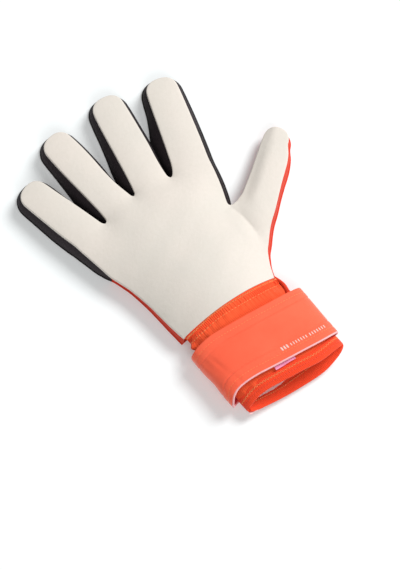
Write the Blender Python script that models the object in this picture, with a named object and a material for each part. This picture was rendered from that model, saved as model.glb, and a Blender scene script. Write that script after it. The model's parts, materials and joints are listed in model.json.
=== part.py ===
"""Right-hand goalkeeper glove, lying palm up on its backhand.

Frame: +Z up out of the palm, +Y from the wrist towards the fingertips, +X towards the
thumb.  The origin is the middle of the glove's footprint, on the surface it lies on.
Lengths below are in millimetres and are scaled to metres where the meshes are made.

A flat-cut glove: every finger is a latex foam front panel and a backhand panel, held
apart by black mesh gussets.  The hand is sewn to an elastic cuff, and a wide strap goes
round the wrist and closes with hook and loop on the back of the cuff.

Fingers and thumb bend at two creases each, a knuckle crease and a middle crease.  The
crease axes lie on the palm face, so the panels open away from each other on the back.
"""

import math

import bmesh
import bpy
import numpy as np
from mathutils import Matrix, Vector
from mathutils.geometry import delaunay_2d_cdt

# ---------------------------------------------------------------- driving dimensions (mm)
MM = 0.001
LATEX_T = 6.0            # latex foam and its backing
BACK_T = 4.0             # backhand panel
LINING_T = 0.8
GUSSET_T = 2.0           # doubled mesh of a finger gusset
GAP = 0.3                # clearance between neighbouring pieces
FINGER_H = 20.0          # height of a finger at its knuckle crease
FINGER_TIP_H = 16.6      # height just before the fingertip
PALM_EDGE_H = 17.0       # top of the palm latex along the hand's sides
PALM_MID_H = 25.5        # top of the palm in its middle
HEEL_H = 28.0            # top of the palm at the wrist
CUFF_PALM_END = -66.2    # y of the palm half's hem
CUFF_BACK_END = -76.4    # y of the back half's hem, which is cut longer
CUFF_WALL = 2.6
CUFF_FLOOR = 5.2         # the cuff's back rides above the strap's closure
STRAP_T = 2.4
STRAP_Y = (-12.6, -56.2)
FLARE = 3.2              # how far a gusset leans out at its foot
BACK_OFF = 1.2           # a gusset stops this short of a crease, so its corners clear the crease's plane

# name: crease centre (x, y), heading and crease heading in degrees from +Y towards +X,
# distance to the middle crease and to the tip, side widths [(s, little-finger side, thumb side)]
FINGERS = {
    "index": dict(o=(36.9, 117.9), head=12.0, crease=6.0, mid=34.0, tip=76.0,
                  w=[(-4, 15.6, 14.6), (0, 15.0, 14.6), (6, 14.4, 14.6), (22, 13.9, 14.4), (50, 13.4, 13.6), (76, 12.4, 12.4)],
                  flare=(0.5, 1.0)),
    "middle": dict(o=(1.55, 121.9), head=4.0, crease=2.0, mid=36.0, tip=80.0,
                   w=[(-4, 14.6, 14.6), (0, 14.2, 14.2), (8, 13.8, 13.6), (28, 13.7, 13.8), (52, 13.4, 13.4), (80, 12.4, 12.4)],
                   flare=(0.5, 0.5)),
    "ring": dict(o=(-30.6, 120.15), head=-10.7, crease=-5.35, mid=34.0, tip=77.0,
                 w=[(-4, 13.6, 13.8), (0, 13.3, 13.3), (10, 13.0, 12.4), (20, 13.0, 12.2), (48, 12.9, 12.6), (77, 11.8, 11.8)],
                 flare=(0.5, 0.5)),
    "little": dict(o=(-61.9, 112.1), head=-19.7, crease=-9.85, mid=27.0, tip=62.0,
                   w=[(-4, 13.6, 14.2), (0, 13.5, 13.5), (18, 13.5, 12.8), (39, 12.6, 12.2), (62, 11.6, 11.4)],
                   flare=(1.0, 0.5)),
    "thumb": dict(o=(60.5, 61.2), head=48.0, crease=48.0, mid=31.0, tip=69.0,
                  w=[(-5, 18.5, 16.6), (0, 16.1, 16.1), (8, 12.6, 15.8), (25, 11.0, 15.0), (46, 10.0, 14.6), (69, 9.4, 13.8)],
                  flare=(0.6, 1.0)),
}

LITTLE_SIDE = [(-42.0, 1.2), (-43.4, 6.0), (-45.7, 15.0), (-48.1, 25.8), (-50.9, 38.0),
               (-56.6, 56.1), (-60.5, 64.6), (-64.4, 73.0), (-67.3, 82.5), (-70.3, 92.4), (-73.4, 102.4)]
INDEX_SIDE = [(50.0, 105.0), (48.3, 94.0), (46.6, 85.5), (44.7, 78.0)]
THUMB_SIDE = [(65.8, 44.5), (60.1, 38.5), (55.1, 32.1), (50.6, 26.4), (47.8, 20.5), (45.7, 15.2), (43.9, 8.7)]
CROTCH = {"ring_little": (-45.2, 111.4), "middle_ring": (-14.6, 118.6), "index_middle": (17.6, 116.4), "thumb_index": (44.0, 73.4)}
HEEL = [(43.0, 5.0), (-42.0, 1.2)]

COLOURS = {
    "latex": ((0.80, 0.76, 0.68), 0.80), "back": ((0.86, 0.10, 0.04), 0.75), "mesh": ((0.030, 0.024, 0.028), 0.85),
    "elastic": ((0.90, 0.10, 0.035), 0.80), "strap": ((0.95, 0.19, 0.10), 0.70), "lining": ((0.86, 0.42, 0.42), 0.90),
    "crimson": ((0.42, 0.02, 0.03), 0.85), "pale": ((0.90, 0.66, 0.66), 0.80), "hook": ((0.10, 0.03, 0.03), 0.90),
}

for old in list(bpy.data.objects):
    bpy.data.objects.remove(old)


# ---------------------------------------------------------------- helpers
def lerp_table(table, s, col):
    """A column of a table of rows (s, ...) read at s."""
    return float(np.interp(s, [r[0] for r in table], [r[col] for r in table]))


def smooth(lo, hi, v):
    t = min(1.0, max(0.0, (v - lo) / (hi - lo)))
    return t * t * (3 - 2 * t)


def heading(deg):
    """Unit vector at that angle from +Y towards +X, and the one to its right."""
    a = math.radians(deg)
    return np.array([math.sin(a), math.cos(a)]), np.array([math.cos(a), -math.sin(a)])


def material(name):
    colour, rough = COLOURS[name]
    mat = bpy.data.materials.get(name)
    if mat is None:
        mat = bpy.data.materials.new(name)
        mat.use_nodes = True
        bsdf = mat.node_tree.nodes["Principled BSDF"]
        bsdf.inputs["Base Color"].default_value = (*colour, 1.0)
        bsdf.inputs["Roughness"].default_value = rough
        bsdf.inputs["Metallic"].default_value = 0.0
    return mat


def make(name, verts, faces, mat):
    """A mesh object from points in millimetres, with a material of its own."""
    mesh = bpy.data.meshes.new(name)
    mesh.from_pydata([tuple(float(c) * MM for c in v) for v in verts], [], [tuple(int(i) for i in f) for f in faces])
    mesh.validate()
    mesh.update()
    own = material(mat).copy()
    own.name = f"{mat}_{name}"
    mesh.materials.append(own)
    ob = bpy.data.objects.new(name, mesh)
    bpy.context.scene.collection.objects.link(ob)
    return ob


def inside(poly, p):
    hit = False
    for (x1, y1), (x2, y2) in zip(poly, poly[1:] + poly[:1]):
        if (y1 > p[1]) != (y2 > p[1]) and p[0] < (x2 - x1) * (p[1] - y1) / (y2 - y1) + x1:
            hit = not hit
    return hit


def edge_distance(poly, p):
    a = np.array(poly)
    b = np.roll(a, -1, axis=0)
    d = b - a
    t = np.clip(((p - a) * d).sum(1) / (d * d).sum(1), 0, 1)
    return float(np.sqrt((((a + d * t[:, None]) - p) ** 2).sum(1)).min())


def slab(name, outline, low, high, mat, spacing=12.0):
    """A closed panel: an outline in plan, and its lower and upper faces as heights."""
    poly = [tuple(map(float, p)) for p in outline]
    area = sum(x1 * y2 - x2 * y1 for (x1, y1), (x2, y2) in zip(poly, poly[1:] + poly[:1]))
    if area < 0:
        poly.reverse()
    pts = list(poly)
    lo, hi = np.min(poly, axis=0), np.max(poly, axis=0)
    for ix in range(1, int((hi[0] - lo[0]) / spacing) + 1):
        for iy in range(1, int((hi[1] - lo[1]) / spacing) + 1):
            p = np.array([lo[0] + ix * spacing, lo[1] + (iy - 0.5 * (ix % 2)) * spacing])
            if inside(poly, p) and edge_distance(poly, p) > spacing * 0.4:
                pts.append(tuple(p))
    n = len(poly)
    verts, _, faces, *_ = delaunay_2d_cdt([Vector(p) for p in pts], [], [list(range(n))], 1, 1e-6)
    tris = []
    for f in faces:
        a, b, c = (verts[i] for i in f)
        turn = (b.x - a.x) * (c.y - a.y) - (b.y - a.y) * (c.x - a.x)
        tris.append(tuple(f) if turn > 0 else tuple(reversed(f)))
    count = {}
    for f in tris:
        for e in ((f[0], f[1]), (f[1], f[2]), (f[2], f[0])):
            count[e] = count.get(e, 0) + 1
    rim = [e for e in count if (e[1], e[0]) not in count]
    m = len(verts)
    points = [(v.x, v.y, high(v.x, v.y)) for v in verts] + [(v.x, v.y, low(v.x, v.y)) for v in verts]
    solid = [f for f in tris] + [(a + m, c + m, b + m) for a, b, c in tris]
    solid += [(a, a + m, b + m, b) for a, b in rim]
    return make(name, points, solid, mat)


def wall(name, rail, section, mat):
    """A wall swept along a line in plan.  section(i, x, y) gives its corners in turn as
    (distance out to the line's right, height)."""
    rail = np.array(rail, float)
    step = np.diff(rail, axis=0)
    step /= np.linalg.norm(step, axis=1)[:, None]
    tangent = np.vstack([step[:1], step[:-1] + step[1:], step[-1:]])
    tangent /= np.linalg.norm(tangent, axis=1)[:, None]
    out = np.column_stack([tangent[:, 1], -tangent[:, 0]])
    stretch = [1.0] + [1.0 / max(0.45, float(np.dot(tangent[i], step[i]))) for i in range(1, len(rail) - 1)] + [1.0]
    verts, faces = [], []
    for i, p in enumerate(rail):
        corners = section(i, p[0], p[1])
        for off, z in corners:
            q = p + out[i] * off * stretch[i]
            verts.append((q[0], q[1], z))
    k = len(corners)
    for i in range(len(rail) - 1):
        for j in range(k):
            a, b = i * k + j, i * k + (j + 1) % k
            faces.append((a, a + k, b + k, b))
    faces.append(tuple(range(k)))
    faces.append(tuple(reversed(range((len(rail) - 1) * k, len(rail) * k))))
    ob = make(name, verts, faces, mat)
    orient(ob)
    return ob


def loft(name, sections, mat, closed=False):
    """Cross-sections of equal point count, joined in turn, with end faces."""
    k = len(sections[0])
    verts = [p for s in sections for p in s]
    faces = []
    for i in range(len(sections) - 1):
        for j in range(k):
            a, b = i * k + j, i * k + (j + 1) % k
            faces.append((a, a + k, b + k, b))
    if closed:
        for j in range(k):
            a, b = (len(sections) - 1) * k + j, (len(sections) - 1) * k + (j + 1) % k
            faces.append((a, j, (j + 1) % k, b))
    else:
        faces.append(tuple(range(k)))
        faces.append(tuple(reversed(range((len(sections) - 1) * k, len(sections) * k))))
    ob = make(name, verts, faces, mat)
    orient(ob)
    return ob


def orient(ob):
    """Faces split into triangles and turned outwards."""
    bm = bmesh.new()
    bm.from_mesh(ob.data)
    bmesh.ops.triangulate(bm, faces=bm.faces[:])
    bmesh.ops.recalc_face_normals(bm, faces=bm.faces[:])
    bm.to_mesh(ob.data)
    bm.free()


# ---------------------------------------------------------------- heights over the hand
def side_left(y):
    return float(np.interp(y, [p[1] for p in LITTLE_SIDE], [p[0] for p in LITTLE_SIDE]))


def side_right(y):
    return float(np.interp(y, [0, 10, 20, 40, 52, 73, 90, 118], [43, 44.5, 47.6, 57, 58, 50, 48, 52]))


def palm_top(x, y):
    u = min(1.0, max(-1.0, 2 * (x - side_left(y)) / (side_right(y) - side_left(y)) - 1))
    edge = PALM_EDGE_H + 3.0 * max(smooth(55, 108, y), smooth(46, 64, x))
    mid = HEEL_H + (PALM_MID_H - HEEL_H) * smooth(5, 60, y) + (FINGER_H + 0.6 - PALM_MID_H) * smooth(60, 112, y)
    return min(edge, 20.0) + max(0.0, mid - min(edge, 20.0)) * (1 - abs(u) ** 2.4)


def finger_top(f, s):
    return FINGER_H - (FINGER_H - FINGER_TIP_H) * max(0.0, s / f["tip"]) ** 1.5


# ---------------------------------------------------------------- finger geometry
def finger_point(f, s, lat):
    d, p = heading(f["head"])
    return np.array(f["o"]) + d * s + p * lat


def crease_cut(f, at, shift):
    """Where the crease at distance `at`, moved by shift along the finger, meets its two sides."""
    n, _ = heading(f["crease"])
    base = finger_point(f, at, 0.0) + n * shift
    ends = []
    for side, col in ((-1, 1), (1, 2)):
        lo, hi = at - 12.0, at + 12.0
        for _ in range(40):
            s = (lo + hi) / 2
            if float(np.dot(finger_point(f, s, side * lerp_table(f["w"], s, col)) - base, n)) < 0:
                lo = s
            else:
                hi = s
        ends.append(s)
    return ends


def side_points(f, s0, s1, side, extra=0.0, n=3):
    """Points along one side of a finger between two distances, `extra` outside the panel's edge."""
    col = 1 if side < 0 else 2
    return [finger_point(f, s, side * (lerp_table(f["w"], s, col) + extra)) for s in np.linspace(s0, s1, n)]


def tip_curve(f, s0_left, s0_right, extra=0.0, n=6):
    """The little-finger side, round the fingertip, and back down the thumb side."""
    r = 11.5
    end = f["tip"] - r
    left = side_points(f, s0_left, end, -1, extra, 4)
    right = side_points(f, end, s0_right, 1, extra, 4)
    wl, wr = lerp_table(f["w"], end, 1) + extra, lerp_table(f["w"], end, 2) + extra
    arc = []
    for k in range(1, 2 * n):
        a = math.pi * k / (2 * n)
        lat = -math.copysign(abs(math.cos(a)) ** 0.8, math.cos(a))
        arc.append(finger_point(f, end + (r + extra) * math.sin(a) ** 0.8, lat * (wl if lat < 0 else wr)))
    return left + arc + right


def finger(name, f):
    mesh_mat = "back" if name == "thumb" else "mesh"
    g = GAP / 2
    top_at = lambda x, y: finger_top(f, float(np.dot(np.array([x, y]) - np.array(f["o"]), heading(f["head"])[0])))
    under = lambda x, y: top_at(x, y) - LATEX_T
    crown = lambda x, y: top_at(x, y)
    l0, r0 = crease_cut(f, 0.0, g)
    l1, r1 = crease_cut(f, f["mid"], -g)
    l2, r2 = crease_cut(f, f["mid"], g)

    base = side_points(f, l0, l1, -1, 0.0, 4) + side_points(f, r1, r0, 1, 0.0, 4)
    slab(f"{name}_palm_base", base, under, crown, "latex", 10.0)
    slab(f"{name}_palm_tip", tip_curve(f, l2, r2), under, crown, "latex", 10.0)

    back_low = lambda x, y: 0.0
    back_high = lambda x, y: BACK_T
    out = 0.2
    base = side_points(f, l0, l1, -1, out, 4) + side_points(f, r1, r0, 1, out, 4)
    slab(f"{name}_back_base", base, back_low, back_high, "back", 14.0)
    slab(f"{name}_back_tip", tip_curve(f, l2, r2, out), back_low, back_high, "back", 14.0)

    def section(flare_root):
        def corners(i, x, y):
            s = float(np.dot(np.array([x, y]) - np.array(f["o"]), heading(f["head"])[0]))
            foot = FLARE * (flare_root + (1 - flare_root) * smooth(0, 16, s)) - 1.2
            z1 = top_at(x, y) - LATEX_T - GAP
            z0 = BACK_T + GAP
            return [(foot - GUSSET_T, z0), (foot, z0), (-0.6, z1), (-0.6 - GUSSET_T, z1)]
        return corners

    def turned(corners):
        return lambda i, x, y: [(-o, z) for o, z in corners(i, x, y)]

    fl, fr = f["flare"]
    # A side rail runs from the knuckle outwards, so its right is the thumb side.
    wall(f"{name}_gusset_base_thumbside", side_points(f, r0 + BACK_OFF, r1 - BACK_OFF, 1, 0.0, 4), section(fr), mesh_mat)
    wall(f"{name}_gusset_base_littleside", side_points(f, l0 + BACK_OFF, l1 - BACK_OFF, -1, 0.0, 4), turned(section(fl)), mesh_mat)
    wall(f"{name}_gusset_tip", tip_curve(f, l2 + BACK_OFF, r2 + BACK_OFF), turned(section(1.0)), mesh_mat)
    return l0, r0


for finger_name, spec in FINGERS.items():
    finger(finger_name, spec)


# ---------------------------------------------------------------- the hand
def hand_outline(extra, shift):
    """The palm's outline: little-finger side, finger creases and crotches, thumb, heel."""
    pts = []
    for p in LITTLE_SIDE:
        pts.append(np.array(p) - np.array([extra, 0.0]))
    for name, crotch in (("little", "ring_little"), ("ring", "middle_ring"), ("middle", "index_middle"), ("index", None)):
        f = FINGERS[name]
        l, r = crease_cut(f, 0.0, -shift)
        pts.append(finger_point(f, l, -(lerp_table(f["w"], l, 1) + (extra if name == "little" else 0.0))))
        pts.append(finger_point(f, r, lerp_table(f["w"], r, 2) + (extra if name == "index" else 0.0)))
        if crotch:
            pts.append(np.array(CROTCH[crotch]))
    for p in INDEX_SIDE:
        pts.append(np.array(p) + np.array([extra, 0.0]))
    pts.append(np.array(CROTCH["thumb_index"]) + np.array([extra * 0.5, 0.0]))
    f = FINGERS["thumb"]
    l, r = crease_cut(f, 0.0, -shift)
    pts.append(finger_point(f, l, -lerp_table(f["w"], l, 1)))
    pts.append(finger_point(f, r, lerp_table(f["w"], r, 2) + extra))
    for p in THUMB_SIDE:
        pts.append(np.array(p) + np.array([extra, -extra * 0.4]))
    pts.append(np.array(HEEL[0]) + np.array([extra, 0.0]))
    for k in range(1, 8):
        pts.append(np.array(HEEL[0]) + (np.array(HEEL[1]) - np.array(HEEL[0])) * k / 8)
    return pts


hand = hand_outline(0.0, GAP / 2)
slab("palm_latex", hand, lambda x, y: palm_top(x, y) - LATEX_T, palm_top, "latex", 11.0)


def shrunk(poly, by):
    """An outline moved in by a distance, corner by corner."""
    a = np.array(poly)
    nxt, prv = np.roll(a, -1, axis=0) - a, a - np.roll(a, 1, axis=0)
    nxt /= np.linalg.norm(nxt, axis=1)[:, None]
    prv /= np.linalg.norm(prv, axis=1)[:, None]
    t = nxt + prv
    t /= np.linalg.norm(t, axis=1)[:, None]
    area = 0.5 * sum(a[i][0] * a[(i + 1) % len(a)][1] - a[(i + 1) % len(a)][0] * a[i][1] for i in range(len(a)))
    inward = np.column_stack([-t[:, 1], t[:, 0]]) * (1 if area > 0 else -1)
    scale = 1.0 / np.maximum(0.5, (t * nxt).sum(1))
    return list(a + inward * (by * scale)[:, None])


slab("palm_lining", shrunk(hand, 4.0), lambda x, y: palm_top(x, y) - LATEX_T - 1.3 - LINING_T,
     lambda x, y: palm_top(x, y) - LATEX_T - 1.3, "lining", 11.0)
slab("backhand_panel", hand_outline(0.2, GAP / 2), lambda x, y: 0.0, lambda x, y: BACK_T, "back", 16.0)


def side_section(flare):
    def corners(i, x, y):
        z1 = palm_top(x, y) - LATEX_T - GAP
        return [(flare - GUSSET_T, BACK_T + GAP), (flare, BACK_T + GAP), (-0.6, z1), (-0.6 - GUSSET_T, z1)]
    return corners


def mirrored(corners):
    return lambda i, x, y: [(-o, z) for o, z in corners(i, x, y)]


little_l, _ = crease_cut(FINGERS["little"], 0.0, -GAP / 2)
little_top = finger_point(FINGERS["little"], little_l, -lerp_table(FINGERS["little"]["w"], little_l, 1))
wall("little_side_wrap", LITTLE_SIDE[:7] + [(-63.9, 71.9)], mirrored(side_section(0.6)), "back")
wall("little_side_gusset", [(-64.55, 73.5)] + LITTLE_SIDE[8:] + [little_top], mirrored(side_section(2.0)), "mesh")
_, index_r = crease_cut(FINGERS["index"], 0.0, -GAP / 2)
index_top = finger_point(FINGERS["index"], index_r, lerp_table(FINGERS["index"]["w"], index_r, 2))
wall("index_side_gusset", [INDEX_SIDE[3], INDEX_SIDE[2], INDEX_SIDE[1], INDEX_SIDE[0], index_top], side_section(2.0), "mesh")
_, thumb_r = crease_cut(FINGERS["thumb"], 0.0, -GAP / 2)
thumb_low = finger_point(FINGERS["thumb"], thumb_r, lerp_table(FINGERS["thumb"]["w"], thumb_r, 2))
wall("thumb_side_wrap", list(reversed([thumb_low] + THUMB_SIDE + [(43.3, 6.0)])), side_section(0.6), "back")


def web(name, left_finger, right_finger, crotch, mat):
    """The short piece of mesh that closes the fork between two fingers."""
    fl, fr = FINGERS[left_finger], FINGERS[right_finger]
    _, r = crease_cut(fl, 0.0, -GAP / 2)
    l, _ = crease_cut(fr, 0.0, -GAP / 2)
    a = finger_point(fl, r, lerp_table(fl["w"], r, 2))
    b = finger_point(fr, l, -lerp_table(fr["w"], l, 1))
    c = np.array(CROTCH[crotch])
    wall(name, [a, c, b], side_section(-0.4), mat)


web("web_ring_little", "little", "ring", "ring_little", "mesh")
web("web_middle_ring", "ring", "middle", "middle_ring", "mesh")
web("web_index_middle", "middle", "index", "index_middle", "mesh")
thumb_l, _ = crease_cut(FINGERS["thumb"], 0.0, -GAP / 2)
thumb_high = finger_point(FINGERS["thumb"], thumb_l, -lerp_table(FINGERS["thumb"]["w"], thumb_l, 1))
wall("web_thumb_index", [(44.6, 77.0), CROTCH["thumb_index"], thumb_high], side_section(-0.4), "mesh")


# ---------------------------------------------------------------- the cuff
def cuff_middle(y):
    return 1.0 + 0.19 * (5.0 - y)


def cuff_half(y):
    return 42.4 + 3.1 * smooth(5, -70, y)


def cuff_height(y):
    return 27.6 - 2.6 * smooth(-30, -66, y)


def oval(y, a, offset, mid=None, half=None, top=None, low=CUFF_FLOOR, waist=13.0):
    """A point at angle a round the wrist's outline, moved out by offset: the palm side is up."""
    mid = cuff_middle(y) if mid is None else mid
    half = cuff_half(y) if half is None else half
    top = cuff_height(y) if top is None else top

    def at(b):
        c, s = math.cos(b), math.sin(b)
        rise = (top - waist) if s >= 0 else (waist - low)
        return np.array([mid + half * math.copysign(abs(c) ** 0.8, c), waist + rise * math.copysign(abs(s) ** 0.8, s)])

    p, q0, q1 = at(a), at(a - 0.02), at(a + 0.02)
    t = (q1 - q0) / np.linalg.norm(q1 - q0)
    p = p + np.array([t[1], -t[0]]) * offset
    return (p[0], y, p[1])


def shell(name, y_at, a0, a1, inner, outer, mat, stations=4, n=14, shape=None):
    """A strip of the wrist's wall between two angles; y_at(v, a) is its edge-to-edge line."""
    sections = []
    angles = np.linspace(a0, a1, n)
    shape = shape or (lambda y, a, off: oval(y, a, off))
    for v in np.linspace(0, 1, stations):
        ring = [shape(y_at(v, a), a, outer) for a in angles] + [shape(y_at(v, a), a, inner) for a in reversed(angles)]
        sections.append(ring)
    return loft(name, sections, mat)


def heel_y(a):
    """The wrist seam: straight on the thumb side, a little lower on the little-finger side."""
    return 2.6 + 2.0 * math.cos(a)


PI = math.pi
shell("cuff_palm_elastic", lambda v, a: heel_y(a) - GAP + v * (CUFF_PALM_END + 2.7 - heel_y(a) + GAP), 0.03, PI - 0.03,
      -CUFF_WALL, 0.0, "elastic", 5, 15)
shell("cuff_palm_hem", lambda v, a: CUFF_PALM_END + 2.4 * (1 - v), 0.03, PI - 0.03, -CUFF_WALL - 0.2, 0.4, "elastic", 2, 15)
shell("cuff_back_elastic", lambda v, a: heel_y(a) - GAP + v * (CUFF_BACK_END + 3.1 - heel_y(a) + GAP), PI + 0.03, 2 * PI - 0.03,
      -CUFF_WALL, 0.0, "elastic", 5, 15)
shell("cuff_back_hem", lambda v, a: CUFF_BACK_END + 2.8 * (1 - v), PI + 0.03, 2 * PI - 0.03, -CUFF_WALL - 0.2, 0.4, "elastic", 2, 15)

ring_angles = np.linspace(0, 2 * PI, 28, endpoint=False)
line_in, line_out = -CUFF_WALL - GAP - LINING_T - 0.2, -CUFF_WALL - GAP - 0.2
line_sections = []
for ring_a in ring_angles:
    ys = (-1.0, CUFF_PALM_END + 6.0)
    line_sections.append([oval(ys[0], ring_a, line_out), oval(ys[1], ring_a, line_out),
                          oval(ys[1], ring_a, line_in), oval(ys[0], ring_a, line_in)])
loft("cuff_lining", line_sections, "lining", closed=True)


# ---------------------------------------------------------------- the wrist strap
def strap_middle(y):
    return 5.4 + 0.135 * (-14.0 - y)


def strap_shape(y, a, off):
    return oval(y, a, off, mid=strap_middle(y), half=50.2, top=31.4, low=0.1, waist=14.0)


STRAP_START, STRAP_STOP = -0.62, PI + 0.93   # from under the thumb side over the palm side to under the little-finger side
shell("strap_band", lambda v, a: STRAP_Y[0] + v * (STRAP_Y[1] - STRAP_Y[0]), STRAP_START, STRAP_STOP,
      -STRAP_T + 0.6, 0.0, "strap", 3, 22, strap_shape)
shell("strap_lining", lambda v, a: STRAP_Y[0] - 1.0 + v * (STRAP_Y[1] - STRAP_Y[0] + 2.0), 0.10, PI + 0.30,
      -STRAP_T, -STRAP_T + 0.6 - 0.25, "crimson", 2, 18, strap_shape)
shell("strap_piping", lambda v, a: STRAP_Y[1] - GAP - v * 1.1, 0.02, PI + 0.30, -1.5, -0.3, "pale", 2, 18, strap_shape)

# The free tail lies under the cuff's back and turns about its thumb-side end.
TAIL_HINGE = [(52.8, -13.4), (58.5, -55.4)]
TAIL_T = 2.2
TAIL_END = -14.0


def tail_outline(x_end, start, inset, round_end=True):
    (x0, y0), (x1, y1) = TAIL_HINGE
    pts = [(x0 - start, y0 - inset), (x1 - start, y1 + inset)]
    low, high = y1 + inset, y0 - inset
    if round_end:
        for k in range(7):
            b = -PI / 2 + PI * k / 6
            pts.append((x_end + 9.0 - 9.0 * math.cos(b), (low + high) / 2 + (high - low) / 2 * math.sin(b)))
    else:
        pts += [(x_end, low), (x_end, high)]
    return pts


slab("strap_tail", tail_outline(TAIL_END, 0.9, 0.6), lambda x, y: 0.0, lambda x, y: TAIL_T, "strap", 20.0)
slab("hook_patch", tail_outline(TAIL_END + 4.0, 22.0, 5.0, False), lambda x, y: TAIL_T + 0.15, lambda x, y: TAIL_T + 0.95, "hook", 30.0)
slab("loop_patch", tail_outline(TAIL_END + 1.0, 20.0, 3.0, False), lambda x, y: TAIL_T + 1.25, lambda x, y: CUFF_FLOOR - 0.45, "crimson", 30.0)

# A short sewn tab that shows below the strap, and the care label in the cuff's corner.
slab("strap_tab", [(3.5, -59.2), (21.5, -59.2), (21.5, -48.0), (3.5, -48.0)], lambda x, y: 26.3 + GAP, lambda x, y: 26.3 + GAP + 0.8, "pale", 30.0)
slab("care_label", [(-21.0, -75.5), (-11.0, -75.5), (-11.0, -62.0), (-21.0, -62.0)], lambda x, y: 11.4, lambda x, y: 12.0, "pale", 30.0)


# ---------------------------------------------------------------- origin in the middle of the footprint
bpy.context.view_layer.update()
pieces = [o for o in bpy.data.objects if o.type == "MESH"]
corners = np.array([v.co for o in pieces for v in o.data.vertices])
low_corner, high_corner = corners.min(axis=0), corners.max(axis=0)
shift = np.array([-(low_corner[0] + high_corner[0]) / 2, -(low_corner[1] + high_corner[1]) / 2, -low_corner[2]])
for piece in pieces:
    for vert in piece.data.vertices:
        vert.co = vert.co + Vector(shift)


def crease_empty(name, x, y, z):
    """An empty on a joint's axis, which the moving pieces hang from."""
    e = bpy.data.objects.new(name, None)
    e.location = Vector((x * MM, y * MM, z * MM)) + Vector(shift)
    bpy.context.scene.collection.objects.link(e)
    return e


def hang(parent, children):
    for child in children:
        ob = bpy.data.objects[child]
        ob.data.transform(Matrix.Translation(-parent_place[parent.name]))
        ob.parent = parent


parent_place = {}
for finger_name, spec in FINGERS.items():
    knuckle = crease_empty(f"{finger_name}_knuckle_axis", *spec["o"], FINGER_H + 0.25)
    mid_xy = finger_point(spec, spec["mid"], 0.0)
    middle = crease_empty(f"{finger_name}_middle_axis", *mid_xy, finger_top(spec, spec["mid"] - 3.0) + 0.25)
    parent_place[knuckle.name], parent_place[middle.name] = knuckle.location.copy(), middle.location.copy()
    middle.location = middle.location - knuckle.location
    middle.parent = knuckle
    hang(knuckle, [f"{finger_name}_palm_base", f"{finger_name}_back_base",
                   f"{finger_name}_gusset_base_thumbside", f"{finger_name}_gusset_base_littleside"])
    hang(middle, [f"{finger_name}_palm_tip", f"{finger_name}_back_tip", f"{finger_name}_gusset_tip"])
hinge_mid = (np.array(TAIL_HINGE[0]) + np.array(TAIL_HINGE[1])) / 2
tail_axis = crease_empty("strap_tail_axis", *hinge_mid, TAIL_T / 2)
parent_place[tail_axis.name] = tail_axis.location.copy()
hang(tail_axis, ["strap_tail", "hook_patch"])
bpy.context.view_layer.update()
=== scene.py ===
"""The look of the goalkeeper glove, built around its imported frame.

Plan positions are in the design's own millimetres (wrist crease at y = 5, middle of the
wrist at x = 0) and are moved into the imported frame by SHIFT, read from a CAD node's box.
"""
import json
import math

import bmesh
import bpy
import numpy as np
from mathutils import Matrix, Vector
from mathutils.geometry import delaunay_2d_cdt

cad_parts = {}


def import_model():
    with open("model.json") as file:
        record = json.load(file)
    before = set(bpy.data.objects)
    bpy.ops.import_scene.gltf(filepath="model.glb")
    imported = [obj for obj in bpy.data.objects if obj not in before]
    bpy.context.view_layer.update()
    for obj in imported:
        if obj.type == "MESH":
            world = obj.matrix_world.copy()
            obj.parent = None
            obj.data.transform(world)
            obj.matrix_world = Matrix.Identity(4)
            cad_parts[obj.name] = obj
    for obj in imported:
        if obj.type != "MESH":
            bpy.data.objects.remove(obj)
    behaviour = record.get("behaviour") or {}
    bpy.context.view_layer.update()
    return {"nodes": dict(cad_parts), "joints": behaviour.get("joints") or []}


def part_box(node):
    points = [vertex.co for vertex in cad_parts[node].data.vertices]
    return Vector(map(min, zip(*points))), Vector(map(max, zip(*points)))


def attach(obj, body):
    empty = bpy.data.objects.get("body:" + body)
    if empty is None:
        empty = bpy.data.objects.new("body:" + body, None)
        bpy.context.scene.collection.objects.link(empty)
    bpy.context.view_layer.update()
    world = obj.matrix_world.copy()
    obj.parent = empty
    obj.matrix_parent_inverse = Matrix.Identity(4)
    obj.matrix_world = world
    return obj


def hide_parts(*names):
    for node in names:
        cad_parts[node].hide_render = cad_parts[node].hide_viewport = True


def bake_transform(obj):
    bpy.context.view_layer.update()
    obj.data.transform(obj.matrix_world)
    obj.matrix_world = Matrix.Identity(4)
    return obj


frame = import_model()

MM = 0.001
PI = math.pi
_lo, _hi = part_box("hook_patch")
SHIFT = np.array([_lo.x / MM + 10.0, _hi.y / MM + 18.4, 0.0])
JOINT = {j["name"]: j for j in frame["joints"]}
scene = bpy.context.scene


def world(points):
    return (np.asarray(points, float).reshape(-1, 3) + SHIFT) * MM


# ------------------------------------------------------------------ camera, light, floor
AZ, EL, DIST = math.radians(-32.0), math.radians(75.0), 1.6
target = Vector(world([(-6.46, 34.33, 0.0)])[0])
back = Vector((math.sin(AZ) * math.cos(EL), -math.cos(AZ) * math.cos(EL), math.sin(EL)))
cam_data = bpy.data.cameras.new("camera")
cam_data.sensor_width = 36.0
cam_data.lens = 129.6
cam_data.clip_start, cam_data.clip_end = 0.05, 20.0
cam = bpy.data.objects.new("camera", cam_data)
scene.collection.objects.link(cam)
cam.location = target + back * DIST
cam.rotation_euler = (-back).to_track_quat("-Z", "Y").to_euler()
scene.camera = cam
scene.view_settings.view_transform = "Standard"

world_data = bpy.data.worlds.new("studio")
world_data.use_nodes = True
world_data.node_tree.nodes["Background"].inputs["Color"].default_value = (1.0, 1.0, 1.0, 1.0)
world_data.node_tree.nodes["Background"].inputs["Strength"].default_value = 0.31
scene.world = world_data


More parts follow.
